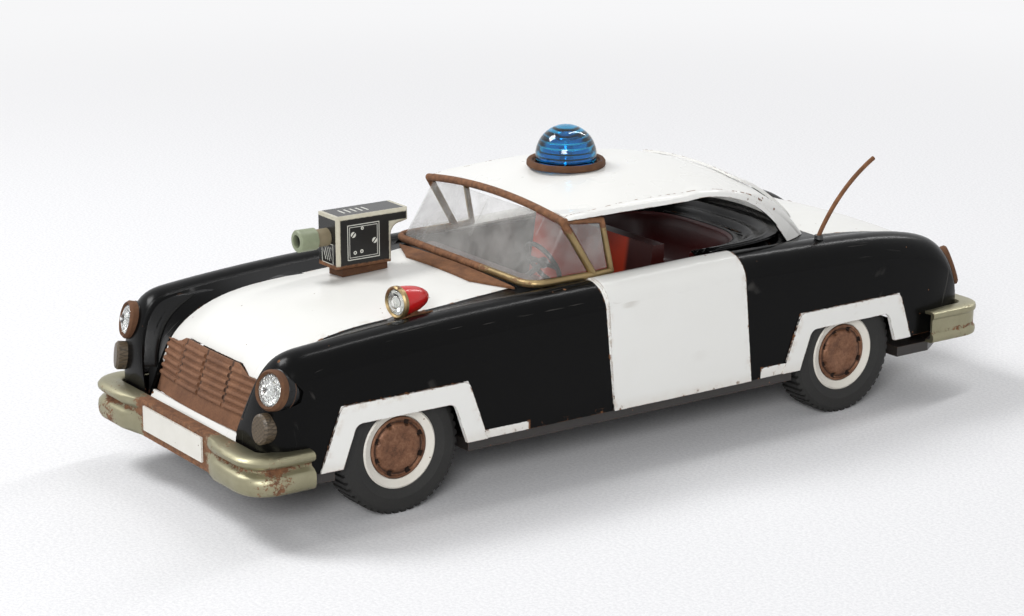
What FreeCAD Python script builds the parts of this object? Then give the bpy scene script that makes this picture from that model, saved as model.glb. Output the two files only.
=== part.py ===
"""A tin toy patrol car: pressed body, tinplate base, rubber tyres, beacon, camera box and spotlight.

Millimetres. +Z is up, the car faces -Y, its left side is +X, and the ground is z = 0.
The origin lies on the ground, midway along the car and on its centre line.
"""
import FreeCAD, Part
import math
import os
import re

import Sketcher

from FreeCAD import Placement, Rotation, Vector

os.makedirs("parts", exist_ok=True)
doc = FreeCAD.newDocument("TinPatrolCar")

# ---------------------------------------------------------------- driving dimensions
# name, value, what it is
SIZES = [
    ("nose_y", -142.0, "front of the body pressing"),
    ("tail_y", 140.0, "back of the body pressing"),
    ("body_half_width", 51.8, "widest part of the body, from the centre line"),
    ("belt_z", 62.4, "highest point of the fender crest"),
    ("sill_z", 19.5, "lower edge of the body pressing"),
    ("sill_tuck", 0.8, "how far the side leans in at the sill"),
    ("shoulder_radius", 8.0, "rounding between side and top"),
    ("wall", 0.8, "thickness of the pressed tinplate, with its paint"),
    ("seat_gap", 0.2, "space between a piece and the pressing it sits on"),
    ("emboss", 0.6, "height of the raised door panel and arch trims"),
    ("front_axle_y", -95.3, "front axle"),
    ("rear_axle_y", 83.6, "rear axle"),
    ("axle_radius", 1.5, "axle wire"),
    ("axle_clearance", 0.06, "space round the axle in its bearing"),
    ("tyre_radius", 21.0, "tyre, over its lugs"),
    ("tyre_width", 12.0, "tyre across"),
    ("tyre_face_x", 48.3, "outer face of the tyre, from the centre line"),
    ("lug_depth", 0.8, "height of the tyre lugs"),
    ("lug_count", 48, "lugs round a tyre"),
    ("disc_radius", 12.9, "white wheel disc"),
    ("cap_radius", 9.9, "hub cap"),
    ("dish_depth", 1.6, "how far the hub cap lies inside the tyre face"),
    ("hub_radius", 4.0, "inner boss of the wheel disc"),
    ("arch_half_length", 17.5, "wheel opening, half its length at the top"),
    ("arch_foot_half_length", 24.0, "wheel opening, half its length at the sill"),
    ("arch_height", 33.0, "top of the wheel opening"),
    ("trim_width", 6.4, "raised band round the wheel opening"),
    ("pan_z", 15.8, "underside of the base pan"),
    ("pan_sheet", 0.8, "thickness of the base pan"),
    ("pan_half_width", 49.0, "base pan between the wheels"),
    ("pan_waist", 32.0, "base pan half width at the wheels"),
    ("pan_depth", 3.4, "height of the base pan's rim"),
    ("ear_x", 29.0, "outer face of the axle ears"),
    ("ear_sheet", 1.2, "thickness of the axle ears"),
    ("ear_half_length", 5.0, "half the length of an axle ear"),
    ("cabin_front_y", -38.0, "front of the cabin opening"),
    ("cabin_rear_y", 61.0, "back of the cabin opening"),
    ("cabin_half_width", 40.2, "cabin opening, from the centre line"),
    ("cabin_corner", 9.0, "corner radius of the cabin opening"),
    ("roof_z", 85.3, "top of the roof"),
    ("roof_half_width", 40.6, "roof edge, from the centre line"),
    ("roof_front_y", -26.8, "front edge of the roof"),
    ("rail_z", 81.0, "lower edge of the roof over the side windows"),
    ("bar_radius", 1.25, "windscreen frame bar"),
    ("vent_bar_radius", 1.0, "quarter vent frame bar"),
    ("screen_foot_y", -41.4, "lower bar of the windscreen"),
    ("screen_foot_z", 62.2, "lower bar of the windscreen"),
    ("screen_head_y", -28.3, "upper bar of the windscreen"),
    ("pane", 0.4, "thickness of the celluloid panes"),
    ("beacon_y", 0.9, "centre of the beacon"),
    ("beacon_ring_radius", 13.2, "flange under the beacon"),
    ("beacon_ring_height", 3.0, "flange under the beacon"),
    ("beacon_radius", 10.2, "blue dome"),
    ("beacon_top_z", 102.3, "top of the blue dome"),
    ("lamp_x", 46.2, "headlamp centre, from the centre line"),
    ("lamp_y", -138.6, "headlamp centre"),
    ("lamp_z", 46.8, "headlamp centre"),
    ("lamp_radius", 6.2, "headlamp rim"),
    ("lens_radius", 4.9, "headlamp lens"),
    ("parking_z", 35.5, "parking lamp centre"),
    ("parking_y", -142.2, "parking lamp centre"),
    ("tail_lamp_x", 42.6, "tail lamp centre, from the centre line"),
    ("tail_lamp_y", 136.2, "tail lamp centre"),
    ("tail_lamp_z", 43.0, "tail lamp centre"),
    ("grille_half_width", 30.0, "grille, from the centre line"),
    ("grille_foot_z", 28.6, "lower edge of the grille"),
    ("grille_height", 19.6, "grille along its slope"),
    ("grille_sheet", 1.0, "thickness of the grille"),
    ("bumper_top_z", 28.2, "upper lip of the bumpers"),
    ("bumper_height", 12.0, "bumpers"),
    ("bumper_half_width", 54.5, "bumpers, from the centre line"),
    ("front_bumper_y", -151.0, "front of the front bumper"),
    ("rear_bumper_y", 151.0, "back of the rear bumper"),
    ("plate_half_width", 19.2, "number plate"),
    ("plate_height", 8.0, "number plate"),
    ("plate_z", 22.6, "middle of the number plate"),
    ("camera_x", -16.0, "middle of the camera box"),
    ("camera_y", -82.0, "front of the camera box"),
    ("camera_length", 27.0, "camera box"),
    ("camera_width", 12.6, "camera box"),
    ("camera_foot_z", 62.4, "underside of the camera box"),
    ("camera_height", 17.4, "camera box"),
    ("spot_x", 36.0, "middle of the spotlight"),
    ("spot_y", -88.5, "front of the spotlight"),
    ("spot_z", 63.4, "middle of the spotlight"),
    ("spot_radius", 5.1, "spotlight rim"),
    ("spot_length", 12.5, "spotlight"),
    ("aerial_x", 44.0, "aerial, from the centre line"),
    ("aerial_y", 74.0, "foot of the aerial"),
    ("aerial_radius", 0.75, "aerial wire"),
    ("tub_floor_z", 32.0, "cabin floor"),
    ("seat_half_width", 33.0, "bench seats"),
    ("seat_top_z", 66.0, "top of the seat backs"),
    ("motor_length", 34.0, "drive unit"),
    ("motor_half_width", 22.0, "drive unit"),
    ("motor_height", 26.0, "drive unit"),
]
sheet = doc.addObject("Spreadsheet::Sheet", "Sizes")
for row, (alias, value, note) in enumerate(SIZES, start=1):
    sheet.set(f"A{row}", note)
    sheet.set(f"B{row}", str(value))
    sheet.setAlias(f"B{row}", alias)
doc.recompute()
ALIASES = {alias for alias, value, note in SIZES}


def mm(expression):
    """The value of an expression in the sheet's names."""
    found = sheet.evalExpression(str(expression))
    return float(getattr(found, "Value", found))


def linked(expression):
    """The same expression as another object must write it, with the sheet named."""
    return re.sub(r"[a-z][a-z_]*", lambda m: "Sizes." + m[0] if m[0] in ALIASES else m[0], str(expression))


def put(obj, x="0", y="0", z="0", rotation=Rotation()):
    """Place an object, with its position tied to the sheet."""
    obj.Placement = Placement(Vector(mm(x), mm(y), mm(z)), rotation)
    for axis, expression in zip("xyz", (x, y, z)):
        if str(expression) != "0":
            obj.setExpression("Placement.Base." + axis, linked(expression))
    return obj


# ---------------------------------------------------------------- ways of making a piece
def origin_plane(body, role):
    return next(f for f in body.Origin.OriginFeatures if f.Role == role)


def sketch_on(body, name, role, offset=None):
    sketch = body.newObject("Sketcher::SketchObject", name)
    sketch.AttachmentSupport = [(origin_plane(body, role), "")]
    sketch.MapMode = "FlatFace"
    if offset is not None:
        sketch.setExpression("AttachmentOffset.Base.z", linked(offset))
    return sketch


def draw_loop(sketch, corners):
    """A closed outline. Each corner is (x, y) in the sheet's names, or (x, y, radius, side) where an arc
    leads to the next corner, bulging to the left (side 1) or right (side -1) of the way there."""
    points = [Vector(mm(c[0]), mm(c[1]), 0) for c in corners]
    first = sketch.GeometryCount
    count = len(corners)
    for i, corner in enumerate(corners):
        start, end = points[i], points[(i + 1) % count]
        if len(corner) == 2:
            sketch.addGeometry(Part.LineSegment(start, end))
            continue
        chord = end - start
        radius = mm(corner[2])
        rise = radius - math.sqrt(max(radius ** 2 - chord.Length ** 2 / 4, 0))
        left = Vector(-chord.y, chord.x, 0).normalize()
        middle = (start + end) * 0.5 + left * (rise * corner[3])
        ends = (end, start) if corner[3] > 0 else (start, end)  # a sketch's arcs run anticlockwise
        sketch.addGeometry(Part.Arc(ends[0], middle, ends[1]))
    for i, corner in enumerate(corners):
        edge, after = first + i, first + (i + 1) % count
        begins = 2 if corner[-1] == 1 else 1
        after_begins = 2 if corners[(i + 1) % count][-1] == 1 else 1
        sketch.addConstraint(Sketcher.Constraint("Coincident", edge, 3 - begins, after, after_begins))
        for kind, coordinate, at, axis in (("DistanceX", corner[0], points[i].x, -2),
                                           ("DistanceY", corner[1], points[i].y, -1)):
            if coordinate == "0":
                sketch.addConstraint(Sketcher.Constraint("PointOnObject", edge, begins, axis))
                continue
            index = sketch.addConstraint(Sketcher.Constraint(kind, edge, begins, at))
            sketch.setExpression(f"Constraints[{index}]", linked(coordinate))
        if len(corner) == 4:
            index = sketch.addConstraint(Sketcher.Constraint("Radius", edge, mm(corner[2])))
            sketch.setExpression(f"Constraints[{index}]", linked(corner[2]))


def cap(radius, height):
    """Radius, as an expression, of the ball whose cap has this radius and height."""
    return f"(({radius})^2 + ({height})^2) / (2 * ({height}))"


def turned(name, corners):
    """A piece turned about its local X axis; corners are (along the axis, radius)."""
    body = doc.addObject("PartDesign::Body", name)
    sketch = sketch_on(body, name + "_profile", "XY_Plane")
    draw_loop(sketch, corners)
    turn = body.newObject("PartDesign::Revolution", name + "_turned")
    turn.Profile = sketch
    turn.ReferenceAxis = (sketch, ["H_Axis"])
    turn.Angle = 360
    return body


def padded(name, role, corners, length, offset=None):
    """A piece of even thickness from an outline on one of its own origin planes."""
    body = doc.addObject("PartDesign::Body", name)
    sketch = sketch_on(body, name + "_outline", role, offset)
    draw_loop(sketch, corners)
    pad = body.newObject("PartDesign::Pad", name + "_pad")
    pad.Profile = sketch
    pad.setExpression("Length", linked(length))
    return body


def box(name, x, y, z, length, width, height):
    """A Part::Box whose low corner is x, y, z."""
    made = doc.addObject("Part::Box", name)
    for prop, expression in (("Length", length), ("Width", width), ("Height", height)):
        made.setExpression(prop, linked(expression))
    return put(made, x, y, z)


def bent(name, shape, placement=Placement()):
    """A piece whose shape neither sketches nor primitives give."""
    made = doc.addObject("Part::Feature", name)
    made.Shape = shape
    made.Placement = placement
    return made


def pair(label, source):
    """The piece and its mirror image on the other side of the car, as one node."""
    other = doc.addObject("Part::Mirroring", source.Name + "_right")
    other.Source = source
    other.Normal = Vector(1, 0, 0)
    both = doc.addObject("Part::Compound", label)
    both.Links = [source, other]
    return both


# ---------------------------------------------------------------- free-form helpers
def wire(points_and_arcs):
    """Edges through a list of points; a triple of points is an arc."""
    edges = []
    for run in points_and_arcs:
        edges.append((Part.LineSegment(*run) if len(run) == 2 else Part.Arc(*run)).toShape())
    return Part.Wire(edges)


def rounded_face(corners, radius):
    """A flat face with every corner rounded."""
    bends = []
    for i, corner in enumerate(corners):
        back = (corners[i - 1] - corner).normalize()
        ahead = (corners[(i + 1) % len(corners)] - corner).normalize()
        half_angle = back.getAngle(ahead) / 2
        reach = radius / math.tan(half_angle)
        mid = corner + (back + ahead).normalize() * (radius / math.sin(half_angle) - radius)
        bends.append((corner + back * reach, mid, corner + ahead * reach))
    runs = []
    for i, bend in enumerate(bends):
        runs += [bend, (bend[2], bends[(i + 1) % len(bends)][0])]
    return Part.Face(wire(runs))


def flat_face(corners, radius=0.0):
    return rounded_face(corners, radius) if radius else Part.Face(Part.makePolygon(corners + corners[:1]))


def prism_x(outline, low, high, radius=0.0):
    """An outline of (y, z) corners drawn along X from low to high."""
    face = flat_face([Vector(low, y, z) for y, z in outline], radius)
    return face.extrude(Vector(high - low, 0, 0))


def prism_z(outline, low, high, radius=0.0):
    """An outline of (x, y) corners drawn up from low to high."""
    face = flat_face([Vector(x, y, low) for x, y in outline], radius)
    return face.extrude(Vector(0, 0, high - low))


def both_sides(solid):
    """The solid and its mirror image across the car."""
    return [solid, solid.mirror(Vector(0, 0, 0), Vector(1, 0, 0))]


def tube(runs, radius):
    """Round bar along a smooth run of lines and arcs."""
    path = wire(runs)
    first = path.OrderedEdges[0]
    start = Vector(*runs[0][0])
    along = first.tangentAt(first.FirstParameter)
    return path.makePipeShell([Part.Wire(Part.makeCircle(radius, start, along))], True, False)


def joined(solids):
    return solids[0].multiFuse(solids[1:]) if len(solids) > 1 else solids[0]


# ---------------------------------------------------------------- the body pressing
# Stations from nose to tail. end: which end y is counted from. y: distance inboard of that end.
# narrow: half width lost. drop: crest below the belt. valley_x: crease beside bonnet or boot.
# valley_drop, crown_drop: crease and centre line below the belt.
BODY_STATIONS = [
    ("nose", 0.0, 8.8, 30.4, 29.0, 37.9, 37.4),
    ("nose", 1.7, 4.8, 20.4, 30.0, 35.4, 33.9),
    ("nose", 5.0, 2.2, 11.4, 31.0, 28.9, 26.9),
    ("nose", 11.0, 1.0, 6.2, 32.0, 18.9, 13.4),
    ("nose", 23.0, 0.4, 4.6, 32.0, 10.4, 6.2),
    ("nose", 47.0, 0.1, 2.8, 32.0, 5.8, 3.2),
    ("nose", 97.0, 0.0, 1.0, 33.0, 2.6, 1.6),
    ("nose", 142.0, 0.0, 0.2, 34.0, 1.4, 1.0),
    ("tail", 90.0, 0.1, 0.0, 34.0, 1.4, 1.2),
    ("tail", 50.0, 0.6, 1.4, 34.0, 3.0, 2.6),
    ("tail", 27.0, 1.2, 4.0, 33.0, 5.8, 4.8),
    ("tail", 14.0, 2.2, 8.0, 32.0, 9.8, 8.6),
    ("tail", 6.0, 4.2, 15.0, 31.0, 16.8, 15.6),
    ("tail", 1.6, 7.2, 25.4, 29.0, 26.8, 26.0),
    ("tail", 0.0, 10.8, 35.4, 27.0, 36.8, 36.4),
]
END_REACH = 40.0  # stations nearer an end than this move along Y when the form grows
SHOULDER_MID = math.radians(26)
SHOULDER_END = math.radians(38)


def body_form(grow=0.0, foot_z=None):
    """The outside of the pressing as a solid, or that form grown or shrunk by grow."""
    radius = mm("shoulder_radius")
    low = mm("sill_z") if foot_z is None else foot_z
    sections = []
    for end, along, narrow, drop, valley_x, valley_drop, crown_drop in BODY_STATIONS:
        y = mm("nose_y") + along if end == "nose" else mm("tail_y") - along
        if along < END_REACH:
            y += -grow if end == "nose" else grow
        half = mm("body_half_width") - narrow + grow
        belt = mm("belt_z") + grow
        centre_x, centre_z = half - radius, belt - drop - radius

        def on_shoulder(angle):
            return (centre_x + radius * math.sin(angle), centre_z + radius * math.cos(angle))

        mid, end_of_round = on_shoulder(SHOULDER_MID), on_shoulder(-SHOULDER_END)
        foot = half - mm("sill_tuck")
        right = [(foot, low), (half, centre_z), mid, end_of_round, (valley_x, belt - valley_drop)]
        at = [Vector(x, y, z) for x, z in right]
        far = [Vector(-x, y, z) for x, z in right]
        sections.append(wire([
            (far[0], at[0]), (at[0], at[1]), (at[1], at[2], at[3]), (at[3], at[4]),
            (at[4], Vector(0, y, belt - crown_drop), far[4]),
            (far[4], far[3]), (far[3], far[2], far[1]), (far[1], far[0]),
        ]))
    return Part.makeLoft(sections, True, False)


# Corners of the wheel opening and of the band round it: (y from the axle, height as (name, add)).
def arch_outline(axle, add):
    """Wheel opening, grown by add: a trapezium from below the sill up to arch_height."""
    y = mm(axle)
    top, foot = mm("arch_half_length") + add * 0.8, mm("arch_foot_half_length") + add * 1.2
    return [(y - foot, mm("sill_z") - 5), (y - top, mm("arch_height") + add), (y + top, mm("arch_height") + add),
            (y + foot, mm("sill_z") - 5)]


def door_outline(add=0.0):
    return [(-20.9 - add, 70.0), (-16.2 - add, 15.0), (40.6 + add, 15.0), (34.6 + add, 70.0)]


outer = body_form()
raised = body_form(mm("emboss"))
out_x = mm("body_half_width") + 10
side_x = mm("cabin_half_width")
embossed = []
for axle in ("front_axle_y", "rear_axle_y"):
    embossed += both_sides(prism_x(arch_outline(axle, mm("trim_width")), side_x, out_x, 3.0))
embossed += both_sides(prism_x(door_outline(), side_x, out_x, 4.0))
shell = outer
for zone in embossed:
    shell = shell.fuse(raised.common(zone))
shell = shell.cut(body_form(-mm("wall"), mm("sill_z") - 3))
for axle in ("front_axle_y", "rear_axle_y"):
    shell = shell.cut(prism_x(arch_outline(axle, 0), -out_x, out_x, 3.0))
cabin = [(-side_x, mm("cabin_front_y")), (side_x, mm("cabin_front_y")),
         (side_x, mm("cabin_rear_y")), (-side_x, mm("cabin_rear_y"))]
shell = shell.cut(prism_z(cabin, mm("belt_z") - 12, mm("belt_z") + 8, mm("cabin_corner")))

# ---------------------------------------------------------------- the roof pressing
# Stations: y, half width at the foot lost, half width at the edge lost, top below roof_z.
ROOF_STATIONS = [
    (0.0, 0.0, 1.3, 1.3),
    (17.0, 0.0, 0.4, 0.3),
    (37.0, 0.0, 0.0, 0.0),
    (57.0, 0.2, 0.4, 0.9),
    (73.0, 0.4, 1.8, 3.3),
    (85.0, 1.0, 3.6, 7.5),
    (95.0, 2.2, 5.8, 13.5),
    (104.0, 4.4, 9.0, 20.5),
    (110.0, 8.0, 13.0, 26.0),
]
ROOF_SPREAD = 1.4  # the foot stands this much wider than the edge
ROOF_EDGE_DROP = 2.6  # edge of the roof below its crown
ROOF_ROUND = 3.0


def roof_form(grow=0.0):
    """The roof with its rear pillars as a solid that reaches down into the body."""
    sections = []
    for along, foot_loss, edge_loss, drop in ROOF_STATIONS:
        y = mm("roof_front_y") + along + (grow if along > 80 else 0)
        foot = mm("roof_half_width") + ROOF_SPREAD - foot_loss + grow
        edge = mm("roof_half_width") - edge_loss + grow
        top = mm("roof_z") - drop + grow
        low = mm("belt_z") - 16
        corner_z = top - ROOF_EDGE_DROP
        right = [(foot, low), (edge, corner_z - ROOF_ROUND), (edge - 0.8, corner_z - 0.6), (edge - ROOF_ROUND, corner_z)]
        at = [Vector(x, y, z) for x, z in right]
        far = [Vector(-x, y, z) for x, z in right]
        sections.append(wire([
            (far[0], at[0]), (at[0], at[1]), (at[1], at[2], at[3]),
            (at[3], Vector(0, y, top), far[3]), (far[3], far[2], far[1]), (far[1], far[0]),
        ]))
    return Part.makeLoft(sections, True, False)


def side_window(lift=0.0):
    """Everything below the roof's lower edge, from in front of the roof to the rear pillar."""
    rail, gap = mm("rail_z") + lift, lift * 0.8
    path = wire([
        (Vector(-out_x, -80, rail), Vector(-out_x, 20, rail)),
        (Vector(-out_x, 20, rail), Vector(-out_x, 51.0 + gap, 74.3 + lift * 0.8), Vector(-out_x, 67.0 + lift, 60.0)),
        (Vector(-out_x, 67.0 + lift, 60.0), Vector(-out_x, 67.0 + lift, 40.0)),
        (Vector(-out_x, 67.0 + lift, 40.0), Vector(-out_x, -80, 40.0)),
        (Vector(-out_x, -80, 40.0), Vector(-out_x, -80, rail)),
    ])
    return Part.Face(path).extrude(Vector(2 * out_x, 0, 0))


REAR_WINDOW = [(-25.0, 53.0), (25.0, 53.0), (29.0, 75.0), (-29.0, 75.0)]


def rear_window(add):
    (left, front), (right, front), (right_foot, back), (left_foot, back) = REAR_WINDOW
    outline = [(left - add, front - add), (right + add, front - add),
               (right_foot + add, back + add), (left_foot - add, back + add)]
    return prism_z(outline, 55, 100, 5.0)


body_top = body_form(mm("seat_gap"))
roof_outside = roof_form()
lower_edge = side_window(0.0)
roof = roof_outside.cut(roof_form(-mm("wall"))).cut(lower_edge)
drip = roof_form(mm("emboss")).common(side_window(1.3).cut(lower_edge)).cut(roof_outside)
drip = drip.common(Part.makeBox(2 * out_x, 88, 60, Vector(-out_x, mm("roof_front_y"), 50)))
roof = roof.fuse(drip).cut(rear_window(0)).cut(body_top)
frame_ring = rear_window(1.6).cut(rear_window(0.1))
rear_frame = roof_form(mm("seat_gap") + 0.7).cut(roof_form(mm("seat_gap"))).common(frame_ring)
pane_depth = mm("wall") + mm("seat_gap")
rear_pane = roof_form(-pane_depth).cut(roof_form(-pane_depth - mm("pane"))).common(rear_window(1.4))

# ---------------------------------------------------------------- windscreen and vents
foot_y, foot_z = mm("screen_foot_y"), mm("screen_foot_z")
head_y = mm("screen_head_y")
FOOT_HALF, FOOT_BEND, FOOT_END_Y = 40.0, 6.0, -17.0
HEAD_HALF, HEAD_RISE, HEAD_EDGE_Z = 38.6, 2.8, 80.9
bend_mid = FOOT_BEND * (1 - math.sqrt(0.5))


def screen_foot(x, side):
    """Corner points of the lower bar on one side: end, bend start, bend middle, bend end."""
    return [Vector(side * x, FOOT_END_Y, foot_z), Vector(side * x, foot_y + FOOT_BEND, foot_z),
            Vector(side * (x - bend_mid), foot_y + bend_mid, foot_z), Vector(side * (x - FOOT_BEND), foot_y, foot_z)]


left_foot, right_foot = screen_foot(FOOT_HALF, 1), screen_foot(FOOT_HALF, -1)
left_head = Vector(HEAD_HALF, head_y, HEAD_EDGE_Z)
right_head = Vector(-HEAD_HALF, head_y, HEAD_EDGE_Z)
crown = Vector(0, head_y, HEAD_EDGE_Z + HEAD_RISE)


def screen_bars(extra=0.0):
    """Windscreen frame: the lower bar with its side rails, the upper bar, pillars and quarter vents."""
    thick, thin = mm("bar_radius") + extra, mm("vent_bar_radius") + extra
    bars = [tube([(left_foot[0], left_foot[1]), tuple(left_foot[1:]), (left_foot[3], right_foot[3]),
                  tuple(reversed(right_foot[1:])), (right_foot[1], right_foot[0])], thick),
            tube([(left_head, crown, right_head)], thick)]
    for foot, head, side in ((left_foot, left_head, 1), (right_foot, right_head, -1)):
        vent_head, vent_foot = vent_corners(side)
        bars.append(tube([(foot[0], head)], thick))
        bars += [Part.makeSphere(thick, head), Part.makeSphere(thick, foot[0])]
        for start, end in ((head, vent_head), (vent_head, vent_foot), (vent_foot, foot[0])):
            bars.append(tube([(start, end)], thin))
        bars += [Part.makeSphere(thin, vent_head), Part.makeSphere(thin, vent_foot)]
    return joined(bars)


def vent_corners(side):
    return (Vector(side * 39.4, -13.5, HEAD_EDGE_Z - 1.3), Vector(side * FOOT_HALF, -10.0, foot_z + 0.4))


over_door = mm("emboss") + mm("seat_gap")
screen_frame = screen_bars().cut(body_top).cut(roof_form(over_door).cut(side_window(-mm("seat_gap"))))
for zone in both_sides(prism_x(door_outline(mm("seat_gap")), side_x - mm("seat_gap"), out_x, 4.0)):
    screen_frame = screen_frame.cut(body_form(over_door).common(zone))
screen_frame = max(screen_frame.Solids, key=lambda solid: solid.Volume)


def screen_form(inset):
    """The wrap-round windscreen as a solid block, or that block inset on its outer sides."""
    sections = []
    for z, front, half in ((foot_z - 2, foot_y, FOOT_HALF), (HEAD_EDGE_Z + 4, head_y + 2.4, HEAD_HALF)):
        near, x, y, bend = front + inset, half - inset, 0.0, FOOT_BEND - inset
        soft = bend * (1 - math.sqrt(0.5))
        right = [Vector(x, y, z), Vector(x, near + bend, z), Vector(x - soft, near + soft, z), Vector(x - bend, near, z)]
        left = [Vector(-point.x, point.y, point.z) for point in right]
        sections.append(wire([(right[0], right[1]), tuple(right[1:]), (right[3], left[3]),
                              tuple(reversed(left[1:])), (left[1], left[0]), (left[0], right[0])]))
    return Part.makeLoft(sections, True, True)


pane = mm("pane")
ahead_of_pillar = prism_x([(-60, foot_z), (FOOT_END_Y, foot_z), (head_y, HEAD_EDGE_Z), (head_y, 90), (-60, 90)],
                          -out_x, out_x)
screen_sheet = screen_form(-pane / 2).cut(screen_form(pane / 2)).common(ahead_of_pillar)
PANE_GAP = 0.25  # between a pane and the bars round it
fat_bars = screen_bars(PANE_GAP)
screen_pane = max(screen_sheet.cut(fat_bars).Solids, key=lambda solid: solid.Volume)
vent_panes = []
for foot, head, side in ((left_foot, left_head, 1), (right_foot, right_head, -1)):
    vent_head, vent_foot = vent_corners(side)
    corners = [foot[0], head, vent_head, vent_foot]
    near = [Vector(side * 39.7, c.y, c.z) for c in corners]
    vent_panes.append(Part.Face(Part.makePolygon(near + near[:1])).extrude(Vector(-side * pane, 0, 0)).cut(fat_bars))

# ---------------------------------------------------------------- lamps, and their holes in the pressing
def aimed(yaw, pitch):
    """Turns a piece's local +X to face forward, turned outward by yaw and up by pitch (degrees)."""
    level = Rotation(Vector(0, 0, 1), yaw - 90)
    return level.multiply(Rotation(Vector(0, 1, 0), -pitch))


LAMP_YAW, LAMP_PITCH = 12.0, 14.0
lamp_turn = aimed(LAMP_YAW, LAMP_PITCH)
LAMP_SINK = 4.2
rim = turned("headlamp_rim", [
    (-LAMP_SINK, "lens_radius"), (-LAMP_SINK, "lamp_radius"), ("0.6", "lamp_radius"),
    ("1.5", "lamp_radius - 0.7"), ("0.9", "lens_radius")])
put(rim, "lamp_x", "lamp_y", "lamp_z", lamp_turn)
lens = turned("headlamp_lens", [
    ("-2.6", "0"), ("-2.6", "lens_radius - 0.1"), ("0.7", "lens_radius - 0.1", cap("lens_radius - 0.1", "1.5"), 1),
    ("2.2", "0")])
put(lens, "lamp_x", "lamp_y", "lamp_z", lamp_turn)
headlamp_rims = pair("headlamp_rims", rim)
headlamp_lenses = pair("headlamp_lenses", lens)


def oval(half_width, half_height, depth, sink, bevel):
    """An oval button along local +X, its face bevelled."""
    across = Vector(0, 0, 1) if half_height > half_width else Vector(0, 1, 0)
    big, small = max(half_width, half_height), min(half_width, half_height)
    ring = Part.Ellipse(Vector(-sink, 0, 0) + across * big, Vector(-sink, 0, 0) + Vector(1, 0, 0).cross(across) * small,
                        Vector(-sink, 0, 0))
    solid = Part.Face(Part.Wire(ring.toShape())).extrude(Vector(sink + depth, 0, 0))
    if not bevel:
        return solid
    return solid.makeChamfer(bevel, [e for e in solid.Edges if e.BoundBox.XMin > depth - 0.01])


def placed(solid, x, y, z, turn):
    moved = solid.copy()
    moved.Placement = Placement(Vector(x, y, z), turn)
    return moved


PARKING_YAW, PARKING_PITCH = 16.0, 6.0
parking_turn = aimed(PARKING_YAW, PARKING_PITCH)
parking_at = (mm("lamp_x"), mm("parking_y"), mm("parking_z"), parking_turn)
parking = placed(oval(3.3, 4.7, 1.6, 3.4, 0.7), *parking_at)
TAIL_YAW, TAIL_PITCH = 152.0, 20.0
tail_at = (mm("tail_lamp_x"), mm("tail_lamp_y"), mm("tail_lamp_z"), aimed(TAIL_YAW, TAIL_PITCH))
tail_rim = placed(oval(4.2, 7.4, 1.5, 4.0, 0.6).cut(oval(3.0, 6.2, 5.0, 6.0, 0)), *tail_at)
tail_lens = placed(oval(2.9, 6.1, 1.1, 2.4, 0.5), *tail_at)

holes = both_sides(placed(Part.makeCylinder(mm("lamp_radius") + 0.05, 9, Vector(-7, 0, 0), Vector(1, 0, 0)),
                          mm("lamp_x"), mm("lamp_y"), mm("lamp_z"), lamp_turn))
holes += both_sides(placed(oval(3.35, 4.75, 4, 6, 0), *parking_at))
holes += both_sides(placed(oval(4.25, 7.45, 4, 6, 0), *tail_at))

# ---------------------------------------------------------------- grille
GRILLE_RADIUS = 150.0  # the grille bows forward on this radius
GRILLE_SLOPE = 17.8  # degrees that it leans back
GRILLE_SHIFT = 1.6  # its middle stands this far in front of its ends' line
RIB_ROWS, RIB_START, RIB_PITCH, RIB_WIDTH, RIB_HEIGHT = 6, 5.0, 2.3, 1.6, 0.8
SLOT_XS, SLOT_WIDTH = (-15.0, 0.0, 15.0), 1.6


def grille_outline(add=0.0):
    half, height = mm("grille_half_width") + add, mm("grille_height") + add
    return [(-half, -add), (half, -add), (half - 0.8, height - 2.6), (22.0, height - 2.6), (16.5, height),
            (-16.5, height), (-22.0, height - 2.6), (-half + 0.8, height - 2.6)]


def grille_block(add, front, back):
    """The grille's outline as a thick block in its own upright frame."""
    corners = [Vector(x, front, z) for x, z in grille_outline(add)]
    return Part.Face(Part.makePolygon(corners + corners[:1])).extrude(Vector(0, back - front, 0))


radius = GRILLE_RADIUS
profile = [(Vector(radius, 0, 0), Vector(radius, 0, RIB_START))]
for row in range(RIB_ROWS):
    low = RIB_START + row * RIB_PITCH
    ridge = low + RIB_WIDTH
    profile.append((Vector(radius, 0, low), Vector(radius + RIB_HEIGHT, 0, (low + ridge) / 2), Vector(radius, 0, ridge)))
    following = low + RIB_PITCH if row < RIB_ROWS - 1 else mm("grille_height") + 1
    profile.append((Vector(radius, 0, ridge), Vector(radius, 0, following)))
inner = radius - mm("grille_sheet")
top = mm("grille_height") + 1
profile += [(Vector(radius, 0, top), Vector(inner, 0, top)), (Vector(inner, 0, top), Vector(inner, 0, 0)),
            (Vector(inner, 0, 0), Vector(radius, 0, 0))]
half_angle = math.degrees(math.asin((mm("grille_half_width") + 2) / radius))
curved = Part.Face(wire(profile))
curved.rotate(Vector(0, 0, 0), Vector(0, 0, 1), -90 - half_angle)
curved = curved.revolve(Vector(0, 0, 0), Vector(0, 0, 1), 2 * half_angle)
for x in SLOT_XS:
    slot = Part.makeBox(SLOT_WIDTH, RIB_HEIGHT + 2, top, Vector(x - SLOT_WIDTH / 2, -radius - RIB_HEIGHT - 1.7, RIB_START))
    curved = curved.cut(slot.cut(Part.makeCylinder(radius, top + 9, Vector(0, 0, 0), Vector(0, 0, 1))))
grille = curved.common(grille_block(0, -radius - 5, -radius + 12))
grille_place = Placement(Vector(0, mm("nose_y") + GRILLE_SHIFT, mm("grille_foot_z")),
                         Rotation(Vector(1, 0, 0), -GRILLE_SLOPE)).multiply(Placement(Vector(0, radius, 0), Rotation()))
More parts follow.
